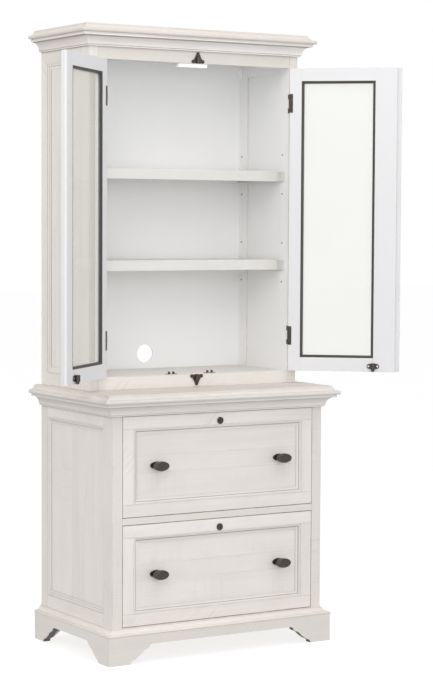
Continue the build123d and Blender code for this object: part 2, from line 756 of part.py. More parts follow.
# ---- hutch carcass ---------------------------------------------------------
PIN_RADIUS = 3
PIN_DEPTH = 9
PIN_FRONT_Y = -48
PIN_REAR_Y = 199
UPPER_PIN_Z = 1502
LOWER_PIN_Z = 1216
INNER_TOP_RAIL = 1826
PEG_LEVELS = [
    middle + step * SHELF_PIN_PITCH for middle in (UPPER_PIN_Z, LOWER_PIN_Z) for step in (-1, 0, 1)
]


def peg_circles(side, depth):
    """The shelf-pin holes of one post, drawn on its inner face."""
    with BuildSketch(Plane.YZ.offset(side * HUTCH_INSIDE)) as circles:
        with Locations(*[(depth, level) for level in PEG_LEVELS]):
            Circle(PIN_RADIUS)
    return circles.sketch


def hutch_front_post(side):
    middle_x = side * (HUTCH_INSIDE + HALF_WIDTH) / 2
    height = HUTCH_COVE_TOP - BASE_TOP
    holes = peg_circles(side, PIN_FRONT_Y)
    with BuildPart() as piece:
        with Locations((middle_x, HUTCH_FRONT + HUTCH_FRONT_POST_DEPTH / 2, BASE_TOP + height / 2)):
            Box(HUTCH_POST_WIDTH, HUTCH_FRONT_POST_DEPTH, height)
        extrude(holes, amount=side * PIN_DEPTH, mode=Mode.SUBTRACT)
    return piece.part


def hutch_rear_post(side):
    """Rear post, rabbeted so that its inner half laps the side panel's edge."""
    lining_front = HUTCH_PANEL_BACK - HUTCH_REAR_LINING_DEPTH
    holes = peg_circles(side, PIN_REAR_Y)
    with BuildPart() as piece:
        with BuildSketch(Plane.XY.offset(BASE_TOP)):
            with BuildLine():
                Polyline(
                    (side * HALF_WIDTH, HUTCH_PANEL_BACK),
                    (side * HALF_WIDTH, BACK),
                    (side * HUTCH_INSIDE, BACK),
                    (side * HUTCH_INSIDE, lining_front),
                    (side * SIDE_PANEL_INNER, lining_front),
                    (side * SIDE_PANEL_INNER, HUTCH_PANEL_BACK),
                    close=True,
                )
            make_face()
        extrude(amount=HUTCH_COVE_TOP - BASE_TOP)
        extrude(holes, amount=side * PIN_DEPTH, mode=Mode.SUBTRACT)
    return piece.part


def hutch_frame():
    """Posts, side rails, front and rear rails, and the lining under the top side rails."""
    pieces = []
    side_depth = (HUTCH_PANEL_FRONT, HUTCH_PANEL_BACK)
    lining_depth = (HUTCH_PANEL_FRONT, HUTCH_PANEL_BACK - HUTCH_REAR_LINING_DEPTH)
    for side in SIDES:
        rail = mirrored_span(side, SIDE_PANEL_INNER, HALF_WIDTH)
        lining = mirrored_span(side, HUTCH_INSIDE, SIDE_PANEL_INNER)
        pieces += [hutch_front_post(side), hutch_rear_post(side)]
        pieces.append(board(rail, side_depth, (BASE_TOP, HUTCH_FLOOR)))
        pieces.append(board(rail, side_depth, (HUTCH_OPENING_TOP, HUTCH_COVE_TOP)))
        pieces.append(board(lining, lining_depth, (INNER_TOP_RAIL, HUTCH_COVE_TOP)))
        pieces.append(board(lining, lining_depth, (BASE_TOP, HUTCH_FLOOR)))
    across = (-HUTCH_INSIDE, HUTCH_INSIDE)
    front_rail = (HUTCH_FRONT, HUTCH_FRONT + RAIL_THICKNESS)
    rear_rail = (HUTCH_BACK_FRONT_FACE + BACK_THICKNESS, BACK)
    pieces.append(board(across, front_rail, (BASE_TOP, HUTCH_FLOOR)))
    pieces.append(board(across, front_rail, (HUTCH_OPENING_TOP, HUTCH_COVE_TOP)))
    pieces.append(board(across, rear_rail, (HUTCH_OPENING_TOP, HUTCH_COVE_TOP)))
    pieces.append(board(across, rear_rail, (BASE_TOP, HUTCH_FLOOR)))
    return pieces


def hutch_back_panel():
    """The back board, with a round hole for cables near its foot."""
    height = CEILING_UNDERSIDE - HUTCH_FLOOR
    with BuildPart() as piece:
        with Locations((0, HUTCH_BACK_FRONT_FACE + BACK_THICKNESS / 2, HUTCH_FLOOR + height / 2)):
            Box(2 * HUTCH_INSIDE, BACK_THICKNESS, height)
        with BuildSketch(Plane.XZ.offset(-HUTCH_BACK_FRONT_FACE)):
            with Locations((CABLE_HOLE_X, HUTCH_FLOOR + CABLE_HOLE_ABOVE_FLOOR)):
                Circle(CABLE_HOLE_RADIUS)
        extrude(amount=-BACK_THICKNESS, mode=Mode.SUBTRACT)
    return piece.part


def corner_block(side):
    """A three-cornered block in the angle of the ceiling, the back and the side."""
    leg = 40
    foot = 4
    thickness = 14
    with BuildPart() as piece:
        with BuildSketch(Plane.XZ.offset(-HUTCH_BACK_FRONT_FACE)):
            with BuildLine():
                Polyline(
                    (side * HUTCH_INSIDE, CEILING_UNDERSIDE),
                    (side * (HUTCH_INSIDE - leg), CEILING_UNDERSIDE),
                    (side * (HUTCH_INSIDE - foot), CEILING_UNDERSIDE - leg),
                    (side * HUTCH_INSIDE, CEILING_UNDERSIDE - leg),
                    close=True,
                )
            make_face()
        extrude(amount=thickness)
    return piece.part


def hutch_ceiling():
    depth = (HUTCH_FRONT + RAIL_THICKNESS, HUTCH_BACK_FRONT_FACE + BACK_THICKNESS)
    height = (CEILING_UNDERSIDE, CEILING_UNDERSIDE + CEILING_THICKNESS)
    ceiling = board((-HUTCH_INSIDE, HUTCH_INSIDE), depth, height)
    return [ceiling] + [corner_block(side) for side in SIDES]


def hutch_top():
    noses = three_sided_strips(HUTCH_FRONT, BACK, top_nose_section(HUTCH_COVE_TOP))
    with BuildPart() as piece:
        with Locations((0, (HUTCH_FRONT + BACK) / 2, HUTCH_COVE_TOP + TOP_THICKNESS / 2)):
            Box(BODY_WIDTH, HUTCH_DEPTH, TOP_THICKNESS)
        add(noses)
    return piece.part


def light_housing():
    """A slim lamp bar behind the top rail, hung from the ceiling, with a switch end."""
    end_block = 9
    with BuildPart() as piece:
        with BuildSketch(Plane.XZ.offset(-LIGHT_Y[0])):
            with BuildLine():
                Polyline(
                    (-LIGHT_HALF, CEILING_UNDERSIDE),
                    (-LIGHT_HALF, DIFFUSER_BOTTOM + 1),
                    (-LIGHT_HALF + end_block, DIFFUSER_BOTTOM + 1),
                    (-LIGHT_HALF + end_block, DIFFUSER_BOTTOM + DIFFUSER_HEIGHT),
                    (LIGHT_HALF, DIFFUSER_BOTTOM + DIFFUSER_HEIGHT),
                    (LIGHT_HALF, CEILING_UNDERSIDE),
                    close=True,
                )
            make_face()
        extrude(amount=-(LIGHT_Y[1] - LIGHT_Y[0]))
    return piece.part


LIGHT_HALF = 57
LIGHT_Y = (-58, -36)
DIFFUSER_BOTTOM = 1834
DIFFUSER_HEIGHT = 10


def light_diffuser():
    switch_end = 9.2
    edge_rounding = 3
    left = -LIGHT_HALF + switch_end
    depth = LIGHT_Y[1] - LIGHT_Y[0] - 2
    with BuildPart() as piece:
        middle = ((left + LIGHT_HALF) / 2, sum(LIGHT_Y) / 2, DIFFUSER_BOTTOM + DIFFUSER_HEIGHT / 2)
        with Locations(middle):
            Box(LIGHT_HALF - left, depth, DIFFUSER_HEIGHT)
        fillet(piece.edges().filter_by(Axis.X).group_by(Axis.Z)[0], edge_rounding)
    return piece.part


def build_hutch_carcass():
    save("hutch_frame", hutch_frame())
    save("hutch_back_panel", hutch_back_panel())
    floor_depth = (HUTCH_FRONT + RAIL_THICKNESS, HUTCH_BACK_FRONT_FACE + BACK_THICKNESS)
    floor_height = (HUTCH_FLOOR - HUTCH_FLOOR_THICKNESS, HUTCH_FLOOR)
    save("hutch_floor", board((-HUTCH_INSIDE, HUTCH_INSIDE), floor_depth, floor_height))
    save("hutch_ceiling", hutch_ceiling())
    cove = three_sided_strips(HUTCH_FRONT, BACK, cove_section(HUTCH_BODY_TOP))
    save("hutch_cove_moulding", cove)
    save("hutch_top", hutch_top())
    save("light_housing", light_housing())
    save("light_diffuser", light_diffuser())


# ---- shelves ---------------------------------------------------------------
CLEAT_THICKNESS = 8
CLEAT_FRONT = -62
PIN_REACH = 5


def shelf_pins():
    """Four pins for each shelf, in the middle holes of the posts."""
    pieces = []
    for side in SIDES:
        for depth in (PIN_FRONT_Y, PIN_REAR_Y):
            for level in (UPPER_PIN_Z, LOWER_PIN_Z):
                with BuildPart() as pin:
                    with BuildSketch(Plane.YZ.offset(side * (HUTCH_INSIDE + PIN_DEPTH))):
                        with Locations((depth, level)):
                            Circle(PIN_RADIUS)
                    extrude(amount=-side * (PIN_DEPTH + PIN_REACH))
                pieces.append(pin.part)
    return pieces


def shelf(top, pin_z):
    """A lipped board between two end cleats that hang on the pins."""
    half = HUTCH_INSIDE - 1
    inner = half - CLEAT_THICKNESS
    back = HUTCH_BACK_FRONT_FACE - 2
    bottom = top - SHELF_LIP_HEIGHT
    lip = 20
    pieces = [board((-inner, inner), (SHELF_FRONT + lip, back), (top - SHELF_THICKNESS, top))]
    with BuildPart() as nosing:
        with Locations((0, SHELF_FRONT + lip / 2, top - SHELF_LIP_HEIGHT / 2)):
            Box(2 * inner, lip, SHELF_LIP_HEIGHT)
        fillet(nosing.edges().filter_by(Axis.X).group_by(Axis.Y)[0], 1.5)
    pieces.append(nosing.part)
    cleat_top = top - 2
    for side in SIDES:
        with BuildPart() as cleat:
            middle = (side * (half - CLEAT_THICKNESS / 2), (CLEAT_FRONT + back) / 2, (bottom + cleat_top) / 2)
            with Locations(middle):
                Box(CLEAT_THICKNESS, back - CLEAT_FRONT, cleat_top - bottom)
            with BuildSketch(Plane.YZ.offset(side * half)):
                for depth in (PIN_FRONT_Y, PIN_REAR_Y):
                    with Locations((depth, (bottom + pin_z) / 2)):
                        Rectangle(2 * PIN_RADIUS + 1, pin_z - bottom)
                    with Locations((depth, pin_z)):
                        Circle(PIN_RADIUS + 0.5)
            extrude(amount=-side * (PIN_REACH + 0.6), mode=Mode.SUBTRACT)
        pieces.append(cleat.part)
    return pieces


def build_shelves():
    save("shelf_pins", shelf_pins())
    save("upper_shelf", shelf(UPPER_SHELF_TOP, UPPER_PIN_Z))
    save("lower_shelf", shelf(LOWER_SHELF_TOP, LOWER_PIN_Z))


# ---- doors: their own frame ------------------------------------------------
# A door is drawn on a plane at its hinge pin. Local x runs along the door (towards -x on the
# right door), local y runs from its outer face to its inner face, and local z is up.
PIN_Y = HUTCH_FRONT - HINGE_PIN_FORWARD
OUTER = HINGE_PIN_FORWARD
INNER = OUTER + DOOR_THICKNESS
DOOR_BOTTOM = HUTCH_FLOOR + DOOR_GAP
DOOR_TOP = HUTCH_OPENING_TOP - DOOR_GAP
LAP_DEPTH = OUTER + DOOR_THICKNESS / 2
SHEET_GAP = 0.5


class Door:
    """One door's hinge side (left -1, right +1), its angle and its stile sizes."""

    def __init__(self, name, hinge_side, angle, free_stile, outer_end, inner_end):
        turn = radians(angle)
        self.name = name
        self.way = -hinge_side
        self.x_dir = Vector(cos(turn), hinge_side * sin(turn), 0)
        self.inwards = Vector(-hinge_side * sin(turn), cos(turn), 0)
        self.pin = Vector(hinge_side * HUTCH_INSIDE, PIN_Y, 0)
        self.outer_end = outer_end
        self.inner_end = inner_end
        self.glass_start = DOOR_GAP + HINGE_STILE
        self.glass_end = inner_end - free_stile

    def plan(self, height):
        """Level plane at a height, with x along the door and y inwards."""
        return Plane(origin=self.pin + Z_UP * height, x_dir=self.x_dir, z_dir=Z_UP)

    def face(self, depth):
        """Upright plane at a depth inside the pin, facing out of the door."""
        origin = self.pin + self.inwards * depth
        return Plane(origin=origin, x_dir=self.x_dir, z_dir=self.inwards * -1)

    def point(self, along, depth, height):
        """A place on the door, from the distance along it, the depth and the height."""
        return self.pin + self.x_dir * (self.way * along) + self.inwards * depth + Z_UP * height


LEFT_DOOR = Door(
    "left_door", -1, LEFT_DOOR_OPEN, LEFT_FREE_STILE,
    HUTCH_INSIDE - MEETING_LAP - 1, HUTCH_INSIDE - 3,
)
RIGHT_DOOR = Door(
    "right_door", 1, RIGHT_DOOR_OPEN, RIGHT_FREE_STILE,
    HUTCH_INSIDE + MEETING_LAP - 1, HUTCH_INSIDE - 1,
)
GLASS_FRONT = OUTER + 10
BEAD_FRONT = GLASS_FRONT + GLASS_THICKNESS
GLASS_BOTTOM = DOOR_BOTTOM + DOOR_BOTTOM_RAIL
GLASS_TOP = DOOR_TOP - DOOR_TOP_RAIL


def plan_rectangle(door, along, depth):
    """A rectangle on a door's plan, from spans along it and across its thickness."""
    with Locations((door.way * sum(along) / 2, sum(depth) / 2)):
        Rectangle(along[1] - along[0], depth[1] - depth[0])


def face_rectangle(door, along, height):
    """A rectangle on a door's face, from spans along it and up it."""
    with Locations((door.way * sum(along) / 2, sum(height) / 2)):
        Rectangle(along[1] - along[0], height[1] - height[0])


def door_stiles(door):
    """Hinge stile and meeting stile, rebated for the glass; the meeting stiles lap."""
    lip = BEAD_WIDTH
    with BuildPart() as hinge_stile:
        with BuildSketch(door.plan(DOOR_BOTTOM)):
            plan_rectangle(door, (DOOR_GAP, door.glass_start), (OUTER, INNER))
            plan_rectangle(door, (DOOR_GAP, door.glass_start + lip), (OUTER, GLASS_FRONT))
        extrude(amount=DOOR_TOP - DOOR_BOTTOM)
    lap_gap = 0.5
    half_way = LAP_DEPTH - lap_gap if door.outer_end > door.inner_end else LAP_DEPTH + lap_gap
    with BuildPart() as meeting_stile:
        with BuildSketch(door.plan(DOOR_BOTTOM)):
            plan_rectangle(door, (door.glass_end, door.inner_end), (half_way, INNER))
            plan_rectangle(door, (door.glass_end, door.outer_end), (OUTER, half_way))
            plan_rectangle(door, (door.glass_end - lip, door.glass_end), (OUTER, GLASS_FRONT))
        extrude(amount=DOOR_TOP - DOOR_BOTTOM)
    return [hinge_stile.part, meeting_stile.part]


def door_rail(door, height, glass_edge, lip_edge):
    """A rail between the stiles, with a lip that the glass rests against."""
    along = (door.glass_start, door.glass_end)
    lip_along = (door.glass_start + BEAD_WIDTH, door.glass_end - BEAD_WIDTH)
    lip_height = tuple(sorted((glass_edge, lip_edge)))
    with BuildPart() as piece:
        with BuildSketch(door.face(INNER)):
            face_rectangle(door, along, height)
        extrude(amount=INNER - GLASS_FRONT)
        with BuildSketch(door.face(GLASS_FRONT)):
            face_rectangle(door, lip_along, height)
            face_rectangle(door, lip_along, lip_height)
        extrude(amount=GLASS_FRONT - OUTER)
    return piece.part


def door_frame(door):
    bottom_rail = door_rail(door, (DOOR_BOTTOM, GLASS_BOTTOM), GLASS_BOTTOM, GLASS_BOTTOM + BEAD_WIDTH)
    top_rail = door_rail(door, (GLASS_TOP, DOOR_TOP), GLASS_TOP, GLASS_TOP - BEAD_WIDTH)
    return door_stiles(door) + [bottom_rail, top_rail]


def door_glass(door):
    with BuildPart() as piece:
        with BuildSketch(door.face(BEAD_FRONT)):
            gap = SHEET_GAP
            along = (door.glass_start + gap, door.glass_end - gap)
            face_rectangle(door, along, (GLASS_BOTTOM + gap, GLASS_TOP - gap))
        extrude(amount=GLASS_THICKNESS)
    return piece.part


def bead_section():
    """A glazing bead with one rounded corner."""
    height = INNER - BEAD_FRONT - 0.5
    with BuildSketch() as section:
        with BuildLine():
            Polyline((0, 0), (0, height), (BEAD_WIDTH - 4, height))
            ThreePointArc((BEAD_WIDTH - 4, height), (BEAD_WIDTH - 1, height - 1.4), (BEAD_WIDTH, height - 4))
            Polyline((BEAD_WIDTH, height - 4), (BEAD_WIDTH, 0), (0, 0))
        make_face()
    return section.sketch


def door_bead(door):
    """Four dark beads, mitred, that hold the glass from inside."""
    corner = door.point(door.glass_start, BEAD_FRONT, GLASS_BOTTOM)
    width = door.glass_end - door.glass_start
    along = door.x_dir * door.way
    return frame_strips(corner, along, width, GLASS_TOP - GLASS_BOTTOM, door.inwards, bead_section())


# ---- hinges ----------------------------------------------------------------
HINGE_Z = (980, 1729)
KNUCKLE_SPLIT = 14.25
AXIAL_GAP = 0.5
TAB_DEPTH = 11


def cabinet_leaf(hinge_side, middle_z):
    """Fixed half: two small tabs on the post, their knuckles and the riveted pin joining them."""
    closed = Plane(origin=(hinge_side * HUTCH_INSIDE, PIN_Y, 0), x_dir=(1, 0, 0), z_dir=(0, 0, 1))
    low = middle_z - HINGE_LENGTH / 2
    post_side = -hinge_side * HINGE_LEAF / 2
    pin_head = 1.5
    tab_margin = 4
    with BuildPart() as piece:
        with BuildSketch(closed.offset(low)):
            Circle(HINGE_KNUCKLE_RADIUS)
            with Locations((post_side, TAB_DEPTH / 2)):
                Rectangle(HINGE_LEAF, TAB_DEPTH)
        extrude(amount=HINGE_LENGTH)
        with BuildSketch(closed.offset(middle_z - KNUCKLE_SPLIT - AXIAL_GAP)):
            Circle(HINGE_KNUCKLE_RADIUS + 1)
            with Locations((post_side, TAB_DEPTH / 2)):
                Rectangle(2 * HINGE_LEAF, TAB_DEPTH + tab_margin)
        extrude(amount=2 * (KNUCKLE_SPLIT + AXIAL_GAP), mode=Mode.SUBTRACT)
        with BuildSketch(closed.offset(low - pin_head)):
            Circle(HINGE_PIN_RADIUS)
        extrude(amount=HINGE_LENGTH + 2 * pin_head)
    return piece.part


def door_leaf(door, middle_z):
    """Moving leaf: one knuckle, a plate in the hinge gap and a wrap on the inner face."""
    low = middle_z - KNUCKLE_SPLIT
    edge = DOOR_GAP - HINGE_LEAF
    wrap_width = 13
    screw_rises = (-20, 0, 20)
    screw_along = 7.5
    screw_radius = 2.2
    screw_sink = 0.7
    face_depth = (INNER, INNER + HINGE_LEAF)
    with BuildPart() as piece:
        with BuildSketch(door.plan(low)):
            Circle(HINGE_KNUCKLE_RADIUS)
            plan_rectangle(door, (edge, DOOR_GAP), (0, face_depth[1]))
            Circle(HINGE_PIN_RADIUS + HINGE_BORE_CLEARANCE, mode=Mode.SUBTRACT)
        extrude(amount=2 * KNUCKLE_SPLIT)
        with BuildSketch(door.plan(middle_z - HINGE_LENGTH / 2)):
            plan_rectangle(door, (DOOR_GAP - 0.01, wrap_width), face_depth)
        extrude(amount=HINGE_LENGTH)
        with BuildSketch(door.face(face_depth[1])):
            for rise in screw_rises:
                with Locations((door.way * screw_along, middle_z + rise)):
                    Circle(screw_radius)
        extrude(amount=-screw_sink)
    return piece.part


# ---- spring catches --------------------------------------------------------
CATCH_ALONG = HUTCH_INSIDE - CATCH_X
BARREL_RADIUS = 8
CATCH_DEPTH = INNER + BARREL_RADIUS
CATCH_BOTTOM = HUTCH_FLOOR + 10
CATCH_TOP = HUTCH_FLOOR + 30
PLUNGER_RADIUS = 5.5
PLUNGER_TIP = HUTCH_FLOOR + 2


def catch_body(door):
    """A plate with two ears and a round barrel, held by two screws."""
    half_plate = 20
    ear_width = 16
    plate = 2.5
    barrel_top = 1.5
    neck_margin = 3
    screw_offset = 14.5
    screw_radius = 3
    screw_height = 1.5
    ear_middle = (CATCH_BOTTOM + CATCH_TOP) / 2
    x = door.way * CATCH_ALONG
    with BuildPart() as body:
        with BuildSketch(door.face(INNER + plate)):
            with Locations((x, ear_middle)):
                SlotOverall(2 * half_plate, ear_width)
        extrude(amount=plate)
        with BuildSketch(door.plan(CATCH_BOTTOM)):
            with Locations((x, CATCH_DEPTH)):
                Circle(BARREL_RADIUS - 0.01)
            with Locations((x, INNER + BARREL_RADIUS / 2)):
                Rectangle(2 * BARREL_RADIUS - neck_margin, BARREL_RADIUS)
        extrude(amount=CATCH_TOP - CATCH_BOTTOM)
        with BuildSketch(door.plan(CATCH_BOTTOM)):
            with Locations((x, CATCH_DEPTH)):
                Circle(PLUNGER_RADIUS + 0.1)
        extrude(amount=CATCH_TOP - CATCH_BOTTOM - barrel_top, mode=Mode.SUBTRACT)
    pieces = [body.part]
    for offset in (-screw_offset, screw_offset):
        with BuildPart() as screw:
            with BuildSketch(door.face(INNER + plate + screw_height)):
                with Locations((x + offset, ear_middle)):
                    Circle(screw_radius)
            extrude(amount=screw_height)
        pieces.append(screw.part)
    return pieces


def catch_plunger(door):
    """The sprung, round-nosed plunger that rides through the strike."""
    x = door.way * CATCH_ALONG
    length = 11
    with BuildPart() as piece:
        with BuildSketch(door.plan(PLUNGER_TIP)):
            with Locations((x, CATCH_DEPTH)):
                Circle(PLUNGER_RADIUS)
        extrude(amount=length)
        fillet(piece.edges().group_by(Axis.Z)[0], PLUNGER_RADIUS - 0.5)
    return piece.part


def catch_strike(x):
    """A hat-shaped strike on the hutch floor, with a channel that the plunger runs in."""
    y = PIN_Y + CATCH_DEPTH
    flange = 38
    hat = 17
    channel_width = 2 * PLUNGER_RADIUS + 4
    channel_floor = 1.2
    flange_thickness = 1.5
    hat_height = 8.5
    depth = 14
    with BuildPart() as piece:
        with BuildSketch(Plane.XZ.offset(-(y - depth / 2))):
            with Locations((x, HUTCH_FLOOR + flange_thickness / 2)):
                Rectangle(flange, flange_thickness)
            with Locations((x, HUTCH_FLOOR + hat_height / 2)):
                Rectangle(hat, hat_height)
            with Locations((x, HUTCH_FLOOR + channel_floor + hat_height / 2)):
                Rectangle(channel_width, hat_height, mode=Mode.SUBTRACT)
        extrude(amount=-depth)
    return piece.part


# ---- cremone bolt on the right door ----------------------------------------
BOLT_ALONG = HUTCH_INSIDE - BOLT_X
BOLT_Z = 1340
CASE_HALF_WIDTH = 13
CASE_HALF_HEIGHT = 58
CASE_DEPTH = 14
ROD_DEPTH = 0
ROD_TIP_GAP = 3


def bolt_case(door):
    """The case that holds the turning hub, and the guides that hold the rods."""
    x = door.way * BOLT_ALONG
    clearance = 0.4
    corner = 6
    cover = 3
    hub_room = 9.5
    spindle_room = 5.05
    guide_width = 20
    guide_height = 12
    guide_rise = 7
    guide_levels = (900, 1120, 1560, 1800)
    with BuildPart() as case:
        with BuildSketch(door.face(OUTER)):
            with Locations((x, BOLT_Z)):
                RectangleRounded(2 * CASE_HALF_WIDTH, 2 * CASE_HALF_HEIGHT, corner)
        extrude(amount=CASE_DEPTH)
        fillet(case.faces().sort_by(Axis(door.face(OUTER).origin, door.inwards * -1))[-1].edges(), 2)
        with BuildSketch(door.plan(BOLT_Z - CASE_HALF_HEIGHT)):
            with Locations((x, ROD_DEPTH)):
                Circle(BOLT_ROD_RADIUS + clearance)
        extrude(amount=2 * CASE_HALF_HEIGHT, mode=Mode.SUBTRACT)
        with BuildSketch(door.face(OUTER)):
            with Locations((x, BOLT_Z)):
                Circle(hub_room)
        extrude(amount=CASE_DEPTH - cover, mode=Mode.SUBTRACT)
        with BuildSketch(door.face(OUTER)):
            with Locations((x, BOLT_Z)):
                Circle(spindle_room)
        extrude(amount=CASE_DEPTH, mode=Mode.SUBTRACT)
    pieces = [case.part]
    for level in guide_levels:
        with BuildPart() as guide:
            with BuildSketch(door.plan(level - guide_height / 2)):
                with Locations((x, (OUTER - guide_rise) / 2)):
                    Rectangle(guide_width, OUTER + guide_rise)
                with Locations((x, ROD_DEPTH)):
                    Circle(BOLT_ROD_RADIUS + clearance, mode=Mode.SUBTRACT)
            extrude(amount=guide_height)
        pieces.append(guide.part)
    return pieces


def bolt_knob(door):
    """The oval turn knob with its spindle and the hub that drives both rods."""
    x = door.way * BOLT_ALONG
    hub_radius = 9
    hub_length = 9
    spindle_radius = 5
    spindle_length = 13
    grip_start = 20
    grip_radii = (10, 21)
    grip_length = 9
    grip_rounding = 3
    with BuildPart() as piece:
        with BuildSketch(door.face(OUTER - 1)):
            with Locations((x, BOLT_Z)):
                Circle(hub_radius)
        extrude(amount=hub_length)
        with BuildSketch(door.face(OUTER - hub_length)):
            with Locations((x, BOLT_Z)):
                Circle(spindle_radius)
        extrude(amount=spindle_length)
        with BuildSketch(door.face(OUTER - grip_start)):
            with Locations((x, BOLT_Z)):
                Ellipse(*grip_radii)
        extrude(amount=grip_length)
        outward = Axis(door.face(OUTER).origin, door.inwards * -1)
        fillet(piece.faces().sort_by(outward)[-1].edges(), grip_rounding)
    return piece.part


def bolt_rod(door, low, high):
    x = door.way * BOLT_ALONG
    with BuildPart() as piece:
        with BuildSketch(door.plan(low)):
            with Locations((x, ROD_DEPTH)):
                Circle(BOLT_ROD_RADIUS)
        extrude(amount=high - low)
        chamfer(piece.edges().group_by(Axis.Z)[0], 1)
        chamfer(piece.edges().group_by(Axis.Z)[-1], 1)
    return piece.part


def bolt_keeper(edge_z, way):
    """A three-lobed plate on a rail, with a raised socket that takes the rod's end."""
    lobe = 6
    half_base = 17
    half_foot = 20
    half_neck = 5
    foot_rise = 1.5
    apex = 30
    plate = 3
    socket_radius = 7
    socket_foot = 10
    socket_start = 0.5
    socket_height = 19
    bore_height = 16
    bore_clearance = 0.8
    top_lobe = 5.5
    rod_y = PIN_Y + ROD_DEPTH
    with BuildPart() as piece:
        with BuildSketch(Plane.XZ.offset(-HUTCH_FRONT)) as trefoil:
            base_z = edge_z + way * lobe
            apex_z = edge_z + way * apex
            with BuildLine():
                Polyline(
                    (BOLT_X - half_foot, edge_z + way * foot_rise),
                    (BOLT_X + half_foot, edge_z + way * foot_rise),
                    (BOLT_X + half_neck, apex_z),
                    (BOLT_X - half_neck, apex_z),
                    close=True,
                )
            make_face()
            with Locations((BOLT_X, edge_z + way * socket_foot / 2)):
                Rectangle(2 * socket_radius, socket_foot)
            with Locations((BOLT_X - half_base, base_z), (BOLT_X + half_base, base_z)):
                Circle(lobe)
            with Locations((BOLT_X, apex_z)):
                Circle(top_lobe)
        extrude(amount=plate)
        with BuildSketch(Plane.XY.offset(edge_z + way * socket_start)):
            with Locations((BOLT_X, rod_y)):
                Circle(socket_radius)
            with Locations((BOLT_X, (rod_y + HUTCH_FRONT) / 2)):
                Rectangle(2 * socket_radius, HUTCH_FRONT - rod_y)
            with Locations((BOLT_X, HUTCH_FRONT + socket_radius)):
                Rectangle(4 * socket_radius, 2 * socket_radius, mode=Mode.SUBTRACT)
        extrude(amount=way * socket_height)
        with BuildSketch(Plane.XY.offset(edge_z)):
            with Locations((BOLT_X, rod_y)):
                Circle(BOLT_ROD_RADIUS + bore_clearance)
        extrude(amount=way * bore_height, mode=Mode.SUBTRACT)
    return piece.part


def build_door(door):
    save(f"{door.name}_frame", door_frame(door))
    save(f"{door.name}_glass", door_glass(door))
    save(f"{door.name}_glazing_beads", door_bead(door))
    save(f"{door.name}_hinge_leaves", [door_leaf(door, z) for z in HINGE_Z])
    save(f"{door.name}_catch", catch_body(door))
    save(f"{door.name}_catch_plunger", catch_plunger(door))


def build_doors():
    build_door(LEFT_DOOR)
    build_door(RIGHT_DOOR)
    save("bolt_case", bolt_case(RIGHT_DOOR))
    save("bolt_knob", bolt_knob(RIGHT_DOOR))
    hub_clear = 10
    save("bolt_upper_rod", bolt_rod(RIGHT_DOOR, BOLT_Z + hub_clear, DOOR_TOP - ROD_TIP_GAP))
    save("bolt_lower_rod", bolt_rod(RIGHT_DOOR, DOOR_BOTTOM + ROD_TIP_GAP, BOLT_Z - hub_clear))
    save("bolt_keepers", [bolt_keeper(HUTCH_OPENING_TOP, 1), bolt_keeper(HUTCH_FLOOR, -1)])
    save("catch_strikes", [catch_strike(side * CATCH_X) for side in SIDES])
    save("hinge_cabinet_leaves", [cabinet_leaf(side, z) for side in SIDES for z in HINGE_Z])


os.makedirs("parts", exist_ok=True)
build_plinth()
build_base_carcass()
build_side_panels()
build_drawers()
build_hutch_carcass()
build_shelves()
build_doors()
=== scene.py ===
import json
import math
import random

import bmesh
import bpy
from mathutils import Matrix, Vector

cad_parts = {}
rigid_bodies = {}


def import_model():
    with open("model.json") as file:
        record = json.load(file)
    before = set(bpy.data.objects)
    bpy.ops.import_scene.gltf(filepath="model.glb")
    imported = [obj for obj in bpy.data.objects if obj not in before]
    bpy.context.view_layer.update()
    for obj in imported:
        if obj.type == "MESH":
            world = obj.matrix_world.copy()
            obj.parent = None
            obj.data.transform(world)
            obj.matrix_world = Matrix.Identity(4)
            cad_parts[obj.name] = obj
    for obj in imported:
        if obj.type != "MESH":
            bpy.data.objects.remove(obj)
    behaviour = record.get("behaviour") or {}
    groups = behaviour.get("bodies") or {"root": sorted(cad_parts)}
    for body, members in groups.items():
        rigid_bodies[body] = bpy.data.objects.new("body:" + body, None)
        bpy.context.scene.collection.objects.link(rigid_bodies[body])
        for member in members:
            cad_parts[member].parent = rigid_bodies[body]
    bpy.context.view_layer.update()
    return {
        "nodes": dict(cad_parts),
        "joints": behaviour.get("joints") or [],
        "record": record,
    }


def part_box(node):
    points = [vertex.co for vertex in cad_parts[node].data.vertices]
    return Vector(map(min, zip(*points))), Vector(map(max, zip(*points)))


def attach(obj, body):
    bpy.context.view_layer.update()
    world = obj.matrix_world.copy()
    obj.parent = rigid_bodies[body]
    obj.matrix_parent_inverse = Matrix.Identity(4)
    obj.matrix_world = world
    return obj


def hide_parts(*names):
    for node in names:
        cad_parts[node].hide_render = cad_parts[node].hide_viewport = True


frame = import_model()

# ---- camera, light and floor ------------------------------------------------
CAMERA_PLACE = (-3.3109, -5.6228, 1.3434)
CAMERA_YAW = 0.549402
CAMERA_PITCH = -0.062332
CAMERA_ROLL = 0.005009
CAMERA_LENS = 104.77
SENSOR_WIDTH = 36
FAR_LIMIT = 60
FLOOR_SIZE = 60
FLOOR_GLOW = 0.78

# The surroundings are white around the horizon and dimmer overhead and below.
DOME = 0.65
DOME_BAND = (0.18, 0.5)
BELOW = 0.46
BELOW_BAND = (-0.3, -0.04)

WARM = (1.0, 0.99, 0.975)
COOL = (0.985, 0.995, 1.0)
NEUTRAL = (1.0, 1.0, 1.0)
WARMER = (1.0, 0.985, 0.96)

